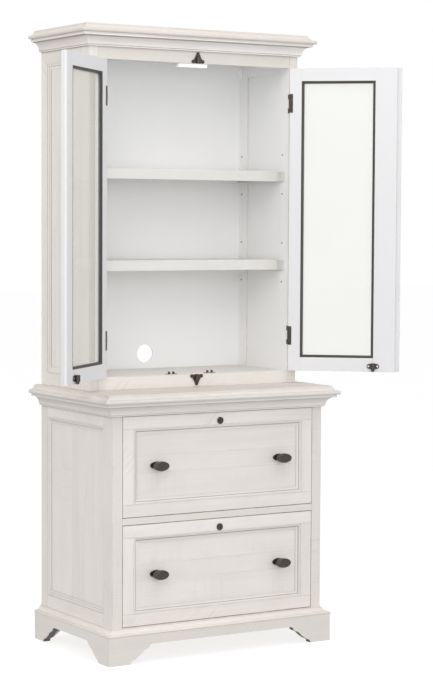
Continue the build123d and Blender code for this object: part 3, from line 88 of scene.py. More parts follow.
# Each soft box: its name, place, target, size, power and colour.
SOFT_BOXES = (
    ("key", (-3.6, -4.6, 4.2), (0, 0, 1.3), (2.6, 2.6), 69, WARM),
    ("camera_fill", (-2.4, -6.2, 1.6), (0, 0, 1.3), (2.2, 2.2), 62, COOL),
    ("right_fill", (1.8, -6.0, 2.0), (0, 0, 1.2), (2.0, 2.0), 8, NEUTRAL),
    ("left_soft", (-3.2, -0.6, 2.7), (-0.4, 0.1, 1.6), (1.2, 1.2), 18, WARMER),
    ("top", (0.0, -1.9, 4.8), (0, -0.1, 1.0), (3.0, 2.6), 51, NEUTRAL),
)


def make_camera():
    yaw, pitch, roll = CAMERA_YAW, CAMERA_PITCH, CAMERA_ROLL
    ahead = Vector((math.sin(yaw) * math.cos(pitch), math.cos(yaw) * math.cos(pitch), math.sin(pitch)))
    right = Vector((math.cos(yaw), -math.sin(yaw), 0))
    up = right.cross(ahead)
    right, up = (
        right * math.cos(roll) + up * math.sin(roll),
        up * math.cos(roll) - right * math.sin(roll),
    )
    data = bpy.data.cameras.new("camera")
    data.lens = CAMERA_LENS
    data.sensor_width = SENSOR_WIDTH
    data.clip_end = FAR_LIMIT
    camera = bpy.data.objects.new("camera", data)
    turn = Matrix((right, up, -ahead)).transposed().to_4x4()
    camera.matrix_world = Matrix.Translation(CAMERA_PLACE) @ turn
    bpy.context.scene.collection.objects.link(camera)
    bpy.context.scene.camera = camera


def area_light(name, place, target, size, power, colour):
    data = bpy.data.lights.new(name, "AREA")
    data.shape = "RECTANGLE"
    data.size, data.size_y = size
    data.energy = power
    data.color = colour
    light = bpy.data.objects.new(name, data)
    light.location = place
    light.rotation_euler = (Vector(target) - Vector(place)).to_track_quat("-Z", "Y").to_euler()
    bpy.context.scene.collection.objects.link(light)


def eased(tree, height, band, start, end):
    """A smooth change from start to end while the direction's height crosses the band."""
    node = tree.nodes.new("ShaderNodeMapRange")
    node.interpolation_type = "SMOOTHSTEP"
    node.inputs["From Min"].default_value = band[0]
    node.inputs["From Max"].default_value = band[1]
    node.inputs["To Min"].default_value = start
    node.inputs["To Max"].default_value = end
    tree.links.new(height, node.inputs["Value"])
    return node.outputs["Result"]


def make_surroundings():
    world = bpy.data.worlds.new("studio")
    world.use_nodes = True
    tree = world.node_tree
    place = tree.nodes.new("ShaderNodeTexCoord")
    split = tree.nodes.new("ShaderNodeSeparateXYZ")
    tree.links.new(place.outputs["Generated"], split.inputs[0])
    both = tree.nodes.new("ShaderNodeMath")
    both.operation = "MULTIPLY"
    height = split.outputs["Z"]
    tree.links.new(eased(tree, height, DOME_BAND, 1.0, DOME), both.inputs[0])
    tree.links.new(eased(tree, height, BELOW_BAND, BELOW, 1.0), both.inputs[1])
    background = tree.nodes["Background"]
    tree.links.new(both.outputs[0], background.inputs["Strength"])
    background.inputs["Color"].default_value = (1, 1, 1, 1)
    bpy.context.scene.world = world


def make_light():
    make_surroundings()
    for box in SOFT_BOXES:
        area_light(*box)
    view = bpy.context.scene.view_settings
    view.view_transform = "Standard"
    view.look = "None"


# ---- materials ----------------------------------------------------------------
class Nodes:
    """A material's node tree, with short calls that add linked nodes."""

    def __init__(self, name):
        self.material = bpy.data.materials.new(name)
        self.material.use_nodes = True
        self.tree = self.material.node_tree
        self.shader = self.tree.nodes["Principled BSDF"]

    def add(self, kind, **settings):
        node = self.tree.nodes.new(kind)
        for key, value in settings.items():
            setattr(node, key, value)
        return node

    def link(self, output, socket):
        self.tree.links.new(output, socket)

    def feed(self, socket, value):
        if isinstance(value, (int, float, tuple)):
            socket.default_value = value
        else:
            self.link(value, socket)

    def attribute(self, name, kind):
        return self.add("ShaderNodeAttribute", attribute_name=name).outputs[kind]

    def scaled(self, vector, scale):
        node = self.add("ShaderNodeVectorMath", operation="MULTIPLY")
        self.link(vector, node.inputs[0])
        node.inputs[1].default_value = scale
        return node.outputs[0]

    def turned(self, vector, angle):
        node = self.add("ShaderNodeVectorRotate", rotation_type="Z_AXIS")
        self.link(vector, node.inputs["Vector"])
        node.inputs["Angle"].default_value = angle
        return node.outputs[0]

    def noise(self, vector, scale, detail=4.0, roughness=0.55, distortion=0.0):
        node = self.add("ShaderNodeTexNoise")
        self.link(vector, node.inputs["Vector"])
        node.inputs["Scale"].default_value = scale
        node.inputs["Detail"].default_value = detail
        node.inputs["Roughness"].default_value = roughness
        node.inputs["Distortion"].default_value = distortion
        return node.outputs["Fac"]

    def ramp(self, value, low, high, start=0.0, end=1.0):
        node = self.add("ShaderNodeMapRange", clamp=True)
        self.link(value, node.inputs["Value"])
        node.inputs["From Min"].default_value = low
        node.inputs["From Max"].default_value = high
        node.inputs["To Min"].default_value = start
        node.inputs["To Max"].default_value = end
        return node.outputs["Result"]

    def maths(self, operation, first, second):
        node = self.add("ShaderNodeMath", operation=operation)
        self.feed(node.inputs[0], first)
        self.feed(node.inputs[1], second)
        return node.outputs[0]

    def mix(self, share, first, second):
        node = self.add("ShaderNodeMix", data_type="RGBA")
        self.feed(node.inputs["Factor"], share)
        self.feed(node.inputs["A"], first)
        self.feed(node.inputs["B"], second)
        return node.outputs["Result"]

    def bump(self, height, strength, distance):
        node = self.add("ShaderNodeBump")
        node.inputs["Strength"].default_value = strength
        node.inputs["Distance"].default_value = distance
        self.link(height, node.inputs["Height"])
        self.link(node.outputs["Normal"], self.shader.inputs["Normal"])


def rgb(red, green, blue):
    """An sRGB colour in 0 to 255 as a linear shader colour."""
    def linear(value):
        value /= 255
        return value / 12.92 if value <= 0.04045 else ((value + 0.055) / 1.055) ** 2.4
    return (linear(red), linear(green), linear(blue), 1.0)


# How fine each pattern is, along a board, across it and through it.
FINE_GRAIN = (4, 150, 150)
BROAD_GRAIN = (1.1, 17, 17)
PORES = (30, 620, 620)
SAW_MARKS = (230, 9, 9)
RUBBED_PATCHES = (14, 60, 60)
FIGURE = (1.0, 16, 16)
BRUSHING = (12, 900, 900)


def painted_wood(name, paint, shade, rub, grain=1.0, saw=1.0, wear=1.0, roughness=0.62, slant=0.0):
    """Wood under a chalky wash: grain, pores, saw marks, rubbed edges and painted shade in the inner
    corners, along each board.

    grain, saw and wear say how strong those marks are; wear also sets the painted shade in the inner
    corners; slant turns the saw marks, in radians.
    """
    m = Nodes(name)
    place = m.attribute("grain", "Vector")
    board = m.attribute("board", "Fac")
    streaks = m.noise(m.scaled(place, FINE_GRAIN), 1.0, 6, 0.62, 0.25)
    bands = m.noise(m.scaled(place, BROAD_GRAIN), 1.0, 3, 0.5, 1.1)
    pores = m.noise(m.scaled(place, PORES), 1.0, 2, 0.5)
    cuts = m.noise(m.scaled(m.turned(place, slant), SAW_MARKS), 1.0, 3, 0.6)
    cut_places = m.ramp(m.noise(place, 7.0, 3), 0.45, 0.68)
    clouds = m.noise(place, 4.0, 4, 0.6)
    streak_share = m.ramp(streaks, 0.36, 0.72, 0.0, 0.5 * grain)
    band_share = m.ramp(bands, 0.45, 0.7, 0.0, 0.45 * grain)
    pore_share = m.ramp(pores, 0.62, 0.74, 0.0, 0.5 * grain)
    cut_share = m.maths("MULTIPLY", m.ramp(cuts, 0.5, 0.68, 0.0, 0.75 * saw), cut_places)
    colour = m.mix(streak_share, paint, shade)
    colour = m.mix(band_share, colour, shade)
    colour = m.mix(m.maths("MAXIMUM", pore_share, cut_share), colour, shade)
    colour = m.mix(m.ramp(clouds, 0.35, 0.7, 0.0, 0.3), colour, shade)
    colour = m.mix(m.ramp(board, 0.0, 1.0, 0.05, 0.6), colour, shade)
    rubbed = m.attribute("wear", "Fac")
    patches = m.noise(m.scaled(place, RUBBED_PATCHES), 1.0, 5, 0.7)
    rubbed = m.maths("MULTIPLY", m.ramp(rubbed, 0.3, 0.9), m.ramp(patches, 0.44, 0.64, 0.0, 0.8 * wear))
    colour = m.mix(rubbed, colour, rub)
    # Painted shade: the inner corners marked as creases are darkened towards grey-brown, where shade falls.
    crease_shade = m.ramp(m.attribute("crease", "Fac"), 0.2, 1.0, 0.0, 0.5 * wear)
    colour = m.mix(crease_shade, colour, tuple(0.5 * (a + b) for a, b in zip(shade, rub)))
    m.link(colour, m.shader.inputs["Base Color"])
    m.link(m.ramp(streaks, 0.3, 0.8, roughness - 0.06, roughness + 0.1), m.shader.inputs["Roughness"])
    relief = m.maths("ADD", m.ramp(streaks, 0.3, 0.75, 0.5, 0.0), m.ramp(pores, 0.6, 0.75, 0.4, 0.0))
    relief = m.maths("ADD", relief, m.maths("MULTIPLY", m.ramp(cuts, 0.4, 0.7, 0.6 * saw, 0.0), cut_places))
    m.bump(relief, 0.4 * grain, 0.0008)
    m.shader.inputs["Specular IOR Level"].default_value = 0.3
    return m.material


def bare_wood(name, pale, dark):
    """Clear-lacquered drawer-box wood with straight grain."""
    m = Nodes(name)
    place = m.attribute("grain", "Vector")
    streaks = m.noise(m.scaled(place, FINE_GRAIN), 1.0, 6, 0.6, 0.4)
    figure = m.noise(m.scaled(place, FIGURE), 1.0, 3, 0.5, 1.4)
    colour = m.mix(m.ramp(streaks, 0.35, 0.7), pale, dark)
    colour = m.mix(m.ramp(figure, 0.42, 0.68, 0.0, 0.5), colour, dark)
    m.link(colour, m.shader.inputs["Base Color"])
    m.link(m.ramp(streaks, 0.3, 0.8, 0.38, 0.52), m.shader.inputs["Roughness"])
    m.bump(streaks, 0.2, 0.0003)
    return m.material


RUBBED_GAIN = 2.2


def aged_metal(name, dark, brown, metallic, roughness):
    """Oil-rubbed bronze: near black, browner where hands and edges rub it, under thin wax."""
    m = Nodes(name)
    place = m.attribute("grain", "Vector")
    mottle = m.noise(place, 240.0, 5, 0.65)
    cloud = m.noise(place, 60.0, 3)
    colour = m.mix(m.ramp(mottle, 0.42, 0.7, 0.0, 0.6), dark, brown)
    edge = m.maths("MULTIPLY", m.ramp(m.attribute("wear", "Fac"), 0.4, 1.0), m.ramp(cloud, 0.4, 0.6))
    bright = tuple(min(1.0, RUBBED_GAIN * c) for c in brown[:3]) + (1.0,)
    colour = m.mix(m.maths("MULTIPLY", edge, 0.75), colour, bright)
    m.link(colour, m.shader.inputs["Base Color"])
    m.link(m.ramp(mottle, 0.3, 0.75, roughness - 0.1, roughness + 0.14), m.shader.inputs["Roughness"])
    m.shader.inputs["Metallic"].default_value = metallic
    m.shader.inputs["Coat Weight"].default_value = 0.3
    m.shader.inputs["Coat Roughness"].default_value = 0.12
    m.bump(mottle, 0.12, 0.0002)
    return m.material


def plated_steel(name, colour, dull):
    """Zinc-plated steel, faintly brushed."""
    m = Nodes(name)
    place = m.attribute("grain", "Vector")
    brushed = m.noise(m.scaled(place, BRUSHING), 1.0, 4, 0.6)
    m.link(m.mix(m.ramp(brushed, 0.35, 0.7), colour, dull), m.shader.inputs["Base Color"])
    m.link(m.ramp(brushed, 0.3, 0.75, 0.24, 0.4), m.shader.inputs["Roughness"])
    m.shader.inputs["Metallic"].default_value = 1.0
    m.bump(brushed, 0.1, 0.0001)
    return m.material


def glass_material(name):
    """Clear sheet glass, with the faintest uneven gloss."""
    m = Nodes(name)
    place = m.attribute("grain", "Vector")
    waves = m.noise(place, 7.0, 2)
    m.link(m.mix(waves, rgb(230, 232, 222), rgb(236, 238, 229)), m.shader.inputs["Base Color"])
    m.link(m.ramp(waves, 0.3, 0.7, 0.02, 0.05), m.shader.inputs["Roughness"])
    m.shader.inputs["Alpha"].default_value = 0.24
    m.shader.inputs["IOR"].default_value = 1.45
    m.bump(waves, 0.03, 0.0005)
    return m.material


def plastic(name, colour, other, roughness, glow=0.0):
    """Moulded plastic with a fine texture; glow makes a lamp's cover shine a little."""
    m = Nodes(name)
    place = m.attribute("grain", "Vector")
    mottle = m.noise(place, 90.0, 3)
    m.link(m.mix(m.ramp(mottle, 0.35, 0.7), colour, other), m.shader.inputs["Base Color"])
    m.link(m.ramp(mottle, 0.3, 0.7, roughness - 0.05, roughness + 0.07), m.shader.inputs["Roughness"])
    m.bump(m.noise(place, 900.0, 2), 0.08, 0.0001)
    m.shader.inputs["Emission Color"].default_value = colour
    m.shader.inputs["Emission Strength"].default_value = glow
    return m.material


def floor_material():
    """Pale studio paper, lit a little from below so that shadows on it stay soft."""
    m = Nodes("floor_paper")
    place = m.add("ShaderNodeTexCoord").outputs["Object"]
    cloud = m.noise(place, 0.7, 3)
    m.link(m.mix(cloud, rgb(146, 146, 146), rgb(152, 152, 152)), m.shader.inputs["Base Color"])
    m.shader.inputs["Roughness"].default_value = 0.9
    m.shader.inputs["Specular IOR Level"].default_value = 0.0
    m.shader.inputs["Emission Color"].default_value = (1, 1, 1, 1)
    m.shader.inputs["Emission Strength"].default_value = FLOOR_GLOW
    return m.material


def make_floor():
    bpy.ops.mesh.primitive_plane_add(size=FLOOR_SIZE, location=(0, 0, 0))
    floor = bpy.context.object
    floor.name = "floor"
    floor.data.materials.append(floor_material())
    floor.visible_diffuse = False


# ---- finishes --------------------------------------------------------------------
PAINT = rgb(237, 233, 229)
SHADE = rgb(211, 205, 198)
RUB = rgb(184, 163, 141)
JOINT = rgb(160, 154, 146)
WASH = painted_wood("whitewash", PAINT, SHADE, RUB, grain=0.55, slant=0.8)
PANEL_WASH = painted_wood("whitewash_panel", PAINT, SHADE, RUB, grain=0.45, saw=0.6, wear=0.3)
TRIM_WASH = painted_wood("whitewash_trim", PAINT, SHADE, RUB, grain=0.6, saw=0.4, wear=1.3)
# Painted light: a brighter copy of the wash for the cove mouldings, lifting them out of the shade under the
# nose.
CROWN_LIT_WASH = painted_wood(
    "whitewash_crown", rgb(250, 247, 244), rgb(214, 207, 200), RUB, grain=0.6, saw=0.4, wear=1.3
)
# Painted shade: a darker wash for the steep flanks of mouldings and the crown's downward faces, where shade
# falls.
SHADED_FLANK_WASH = painted_wood(
    "whitewash_flank_painted_shade", rgb(188, 182, 180), rgb(160, 153, 148), RUB, grain=0.5, saw=0.2, wear=0.8
)
# Painted shade: a dark tone for the sawn edges of the arches between the feet, which lie in shadow.
FOOT_EDGE_PAINTED_SHADE = painted_wood(
    "foot_edge_painted_shade", rgb(122, 119, 120), rgb(92, 89, 90), RUB, grain=0.6, saw=0.3, wear=0.3
)
# Painted light and shade: the top boards' upper faces and their edges get separate copies of the wash,
# toned for how light falls on each.
TOP_FACE_PAINTED_LIGHT_WASH = painted_wood(
    "whitewash_top_face_painted_light", rgb(224, 217, 209), rgb(204, 196, 187), RUB, grain=0.6, saw=0.8, wear=0.9
)
TOP_EDGE_PAINTED_SHADE_WASH = painted_wood(
    "whitewash_top_edge_painted_shade", rgb(225, 220, 216), rgb(204, 198, 192), RUB, grain=0.6, saw=0.4, wear=0.7
)
INSIDE = painted_wood(
    "inside_paint", rgb(249, 249, 249), rgb(240, 240, 240), JOINT, grain=0.3, saw=0.2, wear=0.8,
    roughness=0.5,
)
FLOOR_PAINT = painted_wood(
    "hutch_floor_paint", rgb(232, 227, 222), rgb(214, 208, 202), RUB, grain=0.4, saw=0.3, wear=0.3,
    roughness=0.5,
)
DOOR_INSIDE = painted_wood(
    "door_inside_paint", rgb(226, 226, 228), rgb(218, 218, 220), JOINT, grain=0.3, saw=0.0, wear=0.3,
    roughness=0.5,
)
SHELF_PAINT = painted_wood(
    "shelf_paint", rgb(226, 224, 221), rgb(208, 206, 202), RUB, grain=0.4, saw=0.3, wear=0.3,
    roughness=0.5,
)
HOLE_WOOD = bare_wood("peg_hole_wood", rgb(128, 104, 80), rgb(96, 76, 58))
BOX_WOOD = bare_wood("box_wood", rgb(214, 190, 154), rgb(190, 160, 120))
BRONZE = aged_metal("oil_rubbed_bronze", rgb(54, 48, 43), rgb(90, 78, 68), metallic=0.5, roughness=0.28)
BEAD = aged_metal("bead_bronze", rgb(50, 44, 42), rgb(76, 66, 58), metallic=0.35, roughness=0.45)
BRIGHT_SCREW = plated_steel("screw_steel", rgb(226, 222, 216), rgb(180, 176, 170))
ZINC = plated_steel("zinc_plate", rgb(190, 192, 194), rgb(160, 163, 166))
GLASS = glass_material("sheet_glass")
LAMP_BODY = plastic("lamp_body", rgb(246, 245, 242), rgb(240, 239, 236), roughness=0.45)
LAMP_GLOW = plastic("lamp_diffuser", rgb(248, 248, 246), rgb(242, 242, 240), roughness=0.35, glow=0.5)


# ---- solids of the imported model, ready to be finished --------------------------
# How far a piece's edges are rounded, and how far their wear and painted crease shade reach over a face, in
# metres.
BOARD_EDGE = (0.0011, 0.0035)
SLIM_BOARD_EDGE = (0.0009, 0.003)
TOP_EDGE = (0.0008, 0.003)
BOX_EDGE = (0.0008, 0.0035)
PLANK_EDGE = (0.0007, 0.0035)
CROWN_EDGE = (0.0006, 0.003)
CEILING_EDGE = (0.0006, 0.0035)
THIN_BOARD_EDGE = (0.0005, 0.0035)
MOULDING_EDGE = (0.0005, 0.002)
LAMP_EDGE = (0.0006, 0.002)
GLASS_EDGE = (0.0004, 0.002)
FILE_BAR_EDGE = (0.0004, 0.002)
SLIDE_EDGE = (0.0002, 0.002)
KEEPER_EDGE = (0.0005, 0.0015)
SMALL_EDGE = (0.0003, 0.0015)
AS_PACKED = (None, None)

SHARP_ANGLE = math.radians(24)
SMOOTH_ANGLE = math.radians(38)
FLAT_ANGLE = math.radians(0.6)
LONG_EDGE = 8
BEVEL_PROFILE = 0.6
AREA_LIMIT = 1.0005
SQUARE_LIMIT = 0.8
SIDE_WEAR = 0.45
ODD_FACE_WEAR = 0.3
ODD_FACE_AREA = 60
GRAIN_SHIFT = 20
PLANK_SHADE = 0.2
PLANK_SPREAD = 0.35

# How squarely a face has to look along an axis before it is taken to face that way.
SQUARE_ON = 0.9
MOSTLY = 0.5
LEVEL = 0.98
STEEP = 0.82


def hinge_turn(body):
    """The turn that shuts a door's body, so that its boards lie along X and Z."""
    for joint in frame["joints"]:
        if joint["child"] == body and joint["type"] == "hinge" and abs(joint["axis"][2]) > SQUARE_ON:
            angle = math.radians(joint["range_deg"][1]) * joint["axis"][2]
            place = Vector(joint["pos_m"])
            return Matrix.Translation(place) @ Matrix.Rotation(angle, 4, "Z") @ Matrix.Translation(-place)
    return Matrix.Identity(4)


BODY_OF = {
    node: body for body, nodes in frame["record"]["behaviour"]["bodies"].items() for node in nodes
}
DOOR_OF = {}
for joint in frame["joints"]:
    if joint["parent"] in ("left_door", "right_door"):
        DOOR_OF[joint["child"]] = joint["parent"]


def rest_turn(node):
    """The turn that shuts the door that a node rides on, if it rides on one."""
    body = BODY_OF[node]
    return hinge_turn(DOOR_OF.get(body, body))


def solids_of(node):
    """The node's solids, each a list of triangles of points, found where its surface closes."""
    mesh = frame["nodes"][node].data
    points = [tuple(round(c, 6) for c in v.co) for v in mesh.vertices]
    solids, current, open_edges = [], [], set()
    for polygon in mesh.polygons:
        corners = [points[i] for i in polygon.vertices]
        if len(set(corners)) < 3:
            continue
        current.append(corners)
        for start, end in zip(corners, corners[1:] + corners[:1]):
            if (end, start) in open_edges:
                open_edges.remove((end, start))
            else:
                open_edges.add((start, end))
        if not open_edges:
            solids.append(current)
            current = []
    if current:
        solids.append(current)
    return solids


def mesh_of(triangles, turn, flatten):
    """A clean bmesh of one solid, turned so that its boards lie along the axes."""
    bm = bmesh.new()
    made = {}
    for corners in triangles:
        for corner in corners:
            if corner not in made:
                made[corner] = bm.verts.new(turn @ Vector(corner))
        try:
            bm.faces.new([made[corner] for corner in corners])
        except ValueError:
            pass
    bmesh.ops.recalc_face_normals(bm, faces=bm.faces)
    if flatten:
        bmesh.ops.dissolve_limit(
            bm, angle_limit=FLAT_ANGLE, verts=bm.verts, edges=bm.edges, delimit={"NORMAL"}
        )
    bm.verts.layers.float.new("wear")
    bm.verts.layers.float.new("crease")
    return bm


def edge_kind(edge):
    """+1 for a sharp outer edge, -1 for a sharp inner corner, 0 for a soft or open edge."""
    if len(edge.link_faces) != 2:
        return 0
    angle = edge.calc_face_angle_signed(0.0)
    if abs(angle) < SHARP_ANGLE:
        return 0
    return 1 if angle > 0 else -1


def surface(bm):
    """The area of all the faces."""
    return sum(f.calc_area() for f in bm.faces)


def round_edges(bm, radius):
    """Rounds the long outer edges and marks their middles as worn. False if that spoils the solid."""
    wear = bm.verts.layers.float["wear"]
    crease = bm.verts.layers.float["crease"]
    # Inner corners are marked as creases, for the painted shade that the wash puts in them.
    for e in bm.edges:
        if edge_kind(e) < 0:
            for v in e.verts:
                v[crease] = 1.0
    outer = [e for e in bm.edges if edge_kind(e) > 0 and e.calc_length() > LONG_EDGE * radius]
    if not outer:
        return True
    before = surface(bm)
    done = bmesh.ops.bevel(
        bm, geom=outer, offset=radius, segments=2, profile=BEVEL_PROFILE, affect="EDGES",
        clamp_overlap=True,
    )
    bands = set(done["faces"])
    for v in bm.verts:
        if v.link_faces and all(f in bands for f in v.link_faces):
            v[wear] = 1.0
    return surface(bm) < AREA_LIMIT * before


def is_plain(face, margin):
    """True for a four-sided face with near-square corners, wide enough for a margin all round."""
    if len(face.verts) != 4 or min(e.calc_length() for e in face.edges) < 4 * margin:
        return False
    return all(abs(loop.calc_angle() - math.pi / 2) < SQUARE_LIMIT for loop in face.loops)


def fade_edges(bm, margin):
    """Keeps wear and painted crease shade near the edges of wide faces, by a narrow margin inside each of
    them.
    """
    wear = bm.verts.layers.float["wear"]
    crease = bm.verts.layers.float["crease"]
    wide = [f for f in bm.faces if is_plain(f, margin)]
    for f in wide:
        for v in f.verts:
            v[wear] = max(v[wear], SIDE_WEAR)
    if wide:
        bmesh.ops.inset_individual(bm, faces=wide, thickness=margin, use_even_offset=True)
    for f in wide:
        for v in f.verts:
            v[wear] = 0.0
            v[crease] = 0.0
    for f in bm.faces:
        if len(f.verts) > 4 and f.calc_area() > ODD_FACE_AREA * margin * margin:
            for v in f.verts:
                v[wear] = min(v[wear], ODD_FACE_WEAR)
                v[crease] = 0.0
    bmesh.ops.triangulate(bm, faces=[f for f in bm.faces if len(f.verts) > 4])


def finished_solid(triangles, turn, radius, margin):
    """One solid with its edges rounded, or as it is where radius is None."""
    if radius is None:
        return mesh_of(triangles, turn, False)
    bm = mesh_of(triangles, turn, True)
    if not round_edges(bm, radius):
        bm.free()
        bm = mesh_of(triangles, turn, True)
    fade_edges(bm, margin)
    return bm


def grain_of(bm, seed, tone, seams):
    """Gives each point its place along and across the board, shifted so that boards differ.

    seams is an axis and the places where one plank of a panel meets the next.
    """
    spans = [
        max(v.co[i] for v in bm.verts) - min(v.co[i] for v in bm.verts) for i in range(3)
    ]
    order = sorted(range(3), key=lambda i: -spans[i])
    axis, places = seams
    planks = []
    for plank in range(len(places) + 1):
        draw = random.Random(f"{seed}_{plank}")
        shift = Vector([draw.uniform(-GRAIN_SHIFT, GRAIN_SHIFT) for _ in range(3)])
        shade = draw.random() if tone is None else tone
        planks.append((shift, PLANK_SHADE + PLANK_SPREAD * shade if places else shade))
    grain = bm.verts.layers.float_vector.new("grain")
    board = bm.verts.layers.float.new("board")
    for v in bm.verts:
        shift, shade = planks[sum(v.co[axis] > place for place in places)]
        v[grain] = Vector([v.co[i] for i in order]) + shift
        v[board] = shade


def to_object(name, parts, materials, back):
    """Joins finished solids into one piece and turns it back to where it rests."""
    whole = bmesh.new()
    holder = bpy.data.meshes.new("part")
    for bm in parts:
        bm.to_mesh(holder)
        whole.from_mesh(holder)
        bm.free()
    bpy.data.meshes.remove(holder)
    mesh = bpy.data.meshes.new(name)
    whole.transform(back)
    whole.to_mesh(mesh)
    whole.free()
    mesh.shade_smooth()
    mesh.set_sharp_from_angle(angle=SMOOTH_ANGLE)
    for material in materials:
        mesh.materials.append(material)
    piece = bpy.data.objects.new(name, mesh)
    bpy.context.scene.collection.objects.link(piece)
    weighted = piece.modifiers.new("flat_faces", "WEIGHTED_NORMAL")
    weighted.keep_sharp = True
    return piece


def finished(
    name, node, materials, edge=BOARD_EDGE, choose=None, of_solid=None, tones=None, planks=None
):
    """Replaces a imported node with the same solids, edges rounded and surfaces mapped for grain.

    choose(centre, normal) picks a material's number for a face, with the doors shut;
    of_solid gives each solid's material number instead; tones gives some solids their shade, 0 to 1;
    planks(bm) gives the axis across a panel's planks and the places of their joints.
    """
    turn = rest_turn(node)
    tones = tones or {}
    parts = []
    for number, triangles in enumerate(solids_of(node)):
        bm = finished_solid(triangles, turn, *edge)
        grain_of(bm, f"{name}{number}", tones.get(number), planks(bm) if planks else (0, ()))
        if choose:
            for f in bm.faces:
                f.material_index = choose(f.calc_center_median(), f.normal)
        if of_solid:
            for f in bm.faces:
                f.material_index = of_solid[number]
        parts.append(bm)
    piece = to_object(name, parts, materials, turn.inverted())
    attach(piece, BODY_OF[node])
    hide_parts(node)
    return piece


JOINT_DEPTHS = (0.0003, 0.0015)
JOINT_SPACE = 0.01


def joints_across(axis, face_axis):
    """A function that finds a panel's V-joints: the sunk lines across its face."""
    def find(bm):
        face = max(abs(v.co[face_axis]) for v in bm.verts)
        low = min(v.co[axis] for v in bm.verts) + JOINT_SPACE
        high = max(v.co[axis] for v in bm.verts) - JOINT_SPACE
        places = []
        for v in sorted(bm.verts, key=lambda v: v.co[axis]):
            place = v.co[axis]
            sunk = JOINT_DEPTHS[0] < face - abs(v.co[face_axis]) < JOINT_DEPTHS[1]
            if sunk and low < place < high and (not places or place - places[-1] > JOINT_SPACE):
                places.append(place)
        return axis, places
    return find


# ---- which side of a board faces where -------------------------------------------
hutch_low, hutch_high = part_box("hutch_frame")
plinth_low, plinth_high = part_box("plinth_boards")
SIDE_THICKNESS = 0.031
INNER_X = hutch_high.x - SIDE_THICKNESS
LINING_DEPTH = 0.008
FRONT_EDGE = 0.004
HOLE_MOUTH = 0.0003
FLOOR_JOINT = 0.002
PANEL_OVERLAP = 0.05
PEG_RADIUS = 0.003
PEG_REACH = 1.05 * PEG_RADIUS
PEG_STEPS = (-0.063, 0, 0.063)
FLOOR_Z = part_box("hutch_floor")[1].z
PLINTH_BOARD = 0.022
FOOT_END = 0.04
PEG_BOXES = [[min(c[i] for t in s for c in t) for i in range(3)] for s in solids_of("shelf_pins")]
PEG_DEPTHS = sorted({round(low[1] + PEG_RADIUS, 4) for low in PEG_BOXES})
PEG_LEVELS = sorted({round(low[2] + PEG_RADIUS + step, 4) for low in PEG_BOXES for step in PEG_STEPS})


def in_peg_hole(centre):
    """True for a point on the wall or floor of one of the shelf-pin holes."""
    if abs(centre.x) < INNER_X + HOLE_MOUTH:
        return False
    near_depth = min(abs(centre.y - depth) for depth in PEG_DEPTHS) < PEG_REACH
    return near_depth and min(abs(centre.z - level) for level in PEG_LEVELS) < PEG_REACH


def inside_hutch(centre, normal):
    """2 for a peg hole's raw wood, 1 for a face that looks into the hutch, 0 for one that looks out."""
    if in_peg_hole(centre):
        return 2
    within = abs(centre.x) < INNER_X + LINING_DEPTH and centre.y > hutch_low.y + FRONT_EDGE
    return 1 if within and centre.z > FLOOR_Z - FLOOR_JOINT and abs(normal.y) < SQUARE_ON else 0


def side_panel_face(centre, normal):
    """2 for a peg hole's raw wood, 1 for the hutch's lining, 0 for the outer face."""
    if in_peg_hole(centre):
        return 2
    return 1 if abs(centre.x) < INNER_X + LINING_DEPTH and centre.z > FLOOR_Z - PANEL_OVERLAP else 0


def door_inside(centre, normal):
    """0 for a door's outer face and 1 for the rest of it."""
    return 0 if normal.y < -MOSTLY else 1


def steep(axis):
    """Picks the steep flanks of a moulding, which get a darker wash as painted shade."""
    return lambda centre, normal: 1 if abs(normal[axis]) < STEEP else 0


def under_step(centre, normal):
    """Picks the small faces of a crown that look straight down, which get a darker wash as painted shade.
    """
    return 1 if normal.z < -SQUARE_ON else 0


def foot_edge(centre, normal):
    """1 for the sawn edges of the arches between the feet, painted dark as shade, 0 for the rest of the
    plinth.
    """
    near_front = centre.y < plinth_low.y + PLINTH_BOARD
    along, across = (0, 1) if near_front else (1, 0)
    between = plinth_low[along] + FOOT_END < centre[along] < plinth_high[along] - FOOT_END
    return 1 if between and abs(normal[across]) < MOSTLY else 0


def on_top(centre, normal):
    """1 for a board's upper face, 0 for its edges; each gets its own copy of the wash as painted light and
    shade.
    """
    return 1 if normal.z > LEVEL else 0


def on_back(centre, normal):
    """1 for a board's rear face, 0 for the rest of it."""
    return 1 if normal.y > MOSTLY else 0


# ---- the pieces --------------------------------------------------------------------
LEVELS = ("upper", "lower")
SIDES = ("left", "right")
SHELF_TONES = {0: 0.1, 1: 0.1, 2: 1.0, 3: 1.0}
DRAWER_TONES = {0: 0.0, 1: 0.3, 2: 0.1, 3: 0.4}


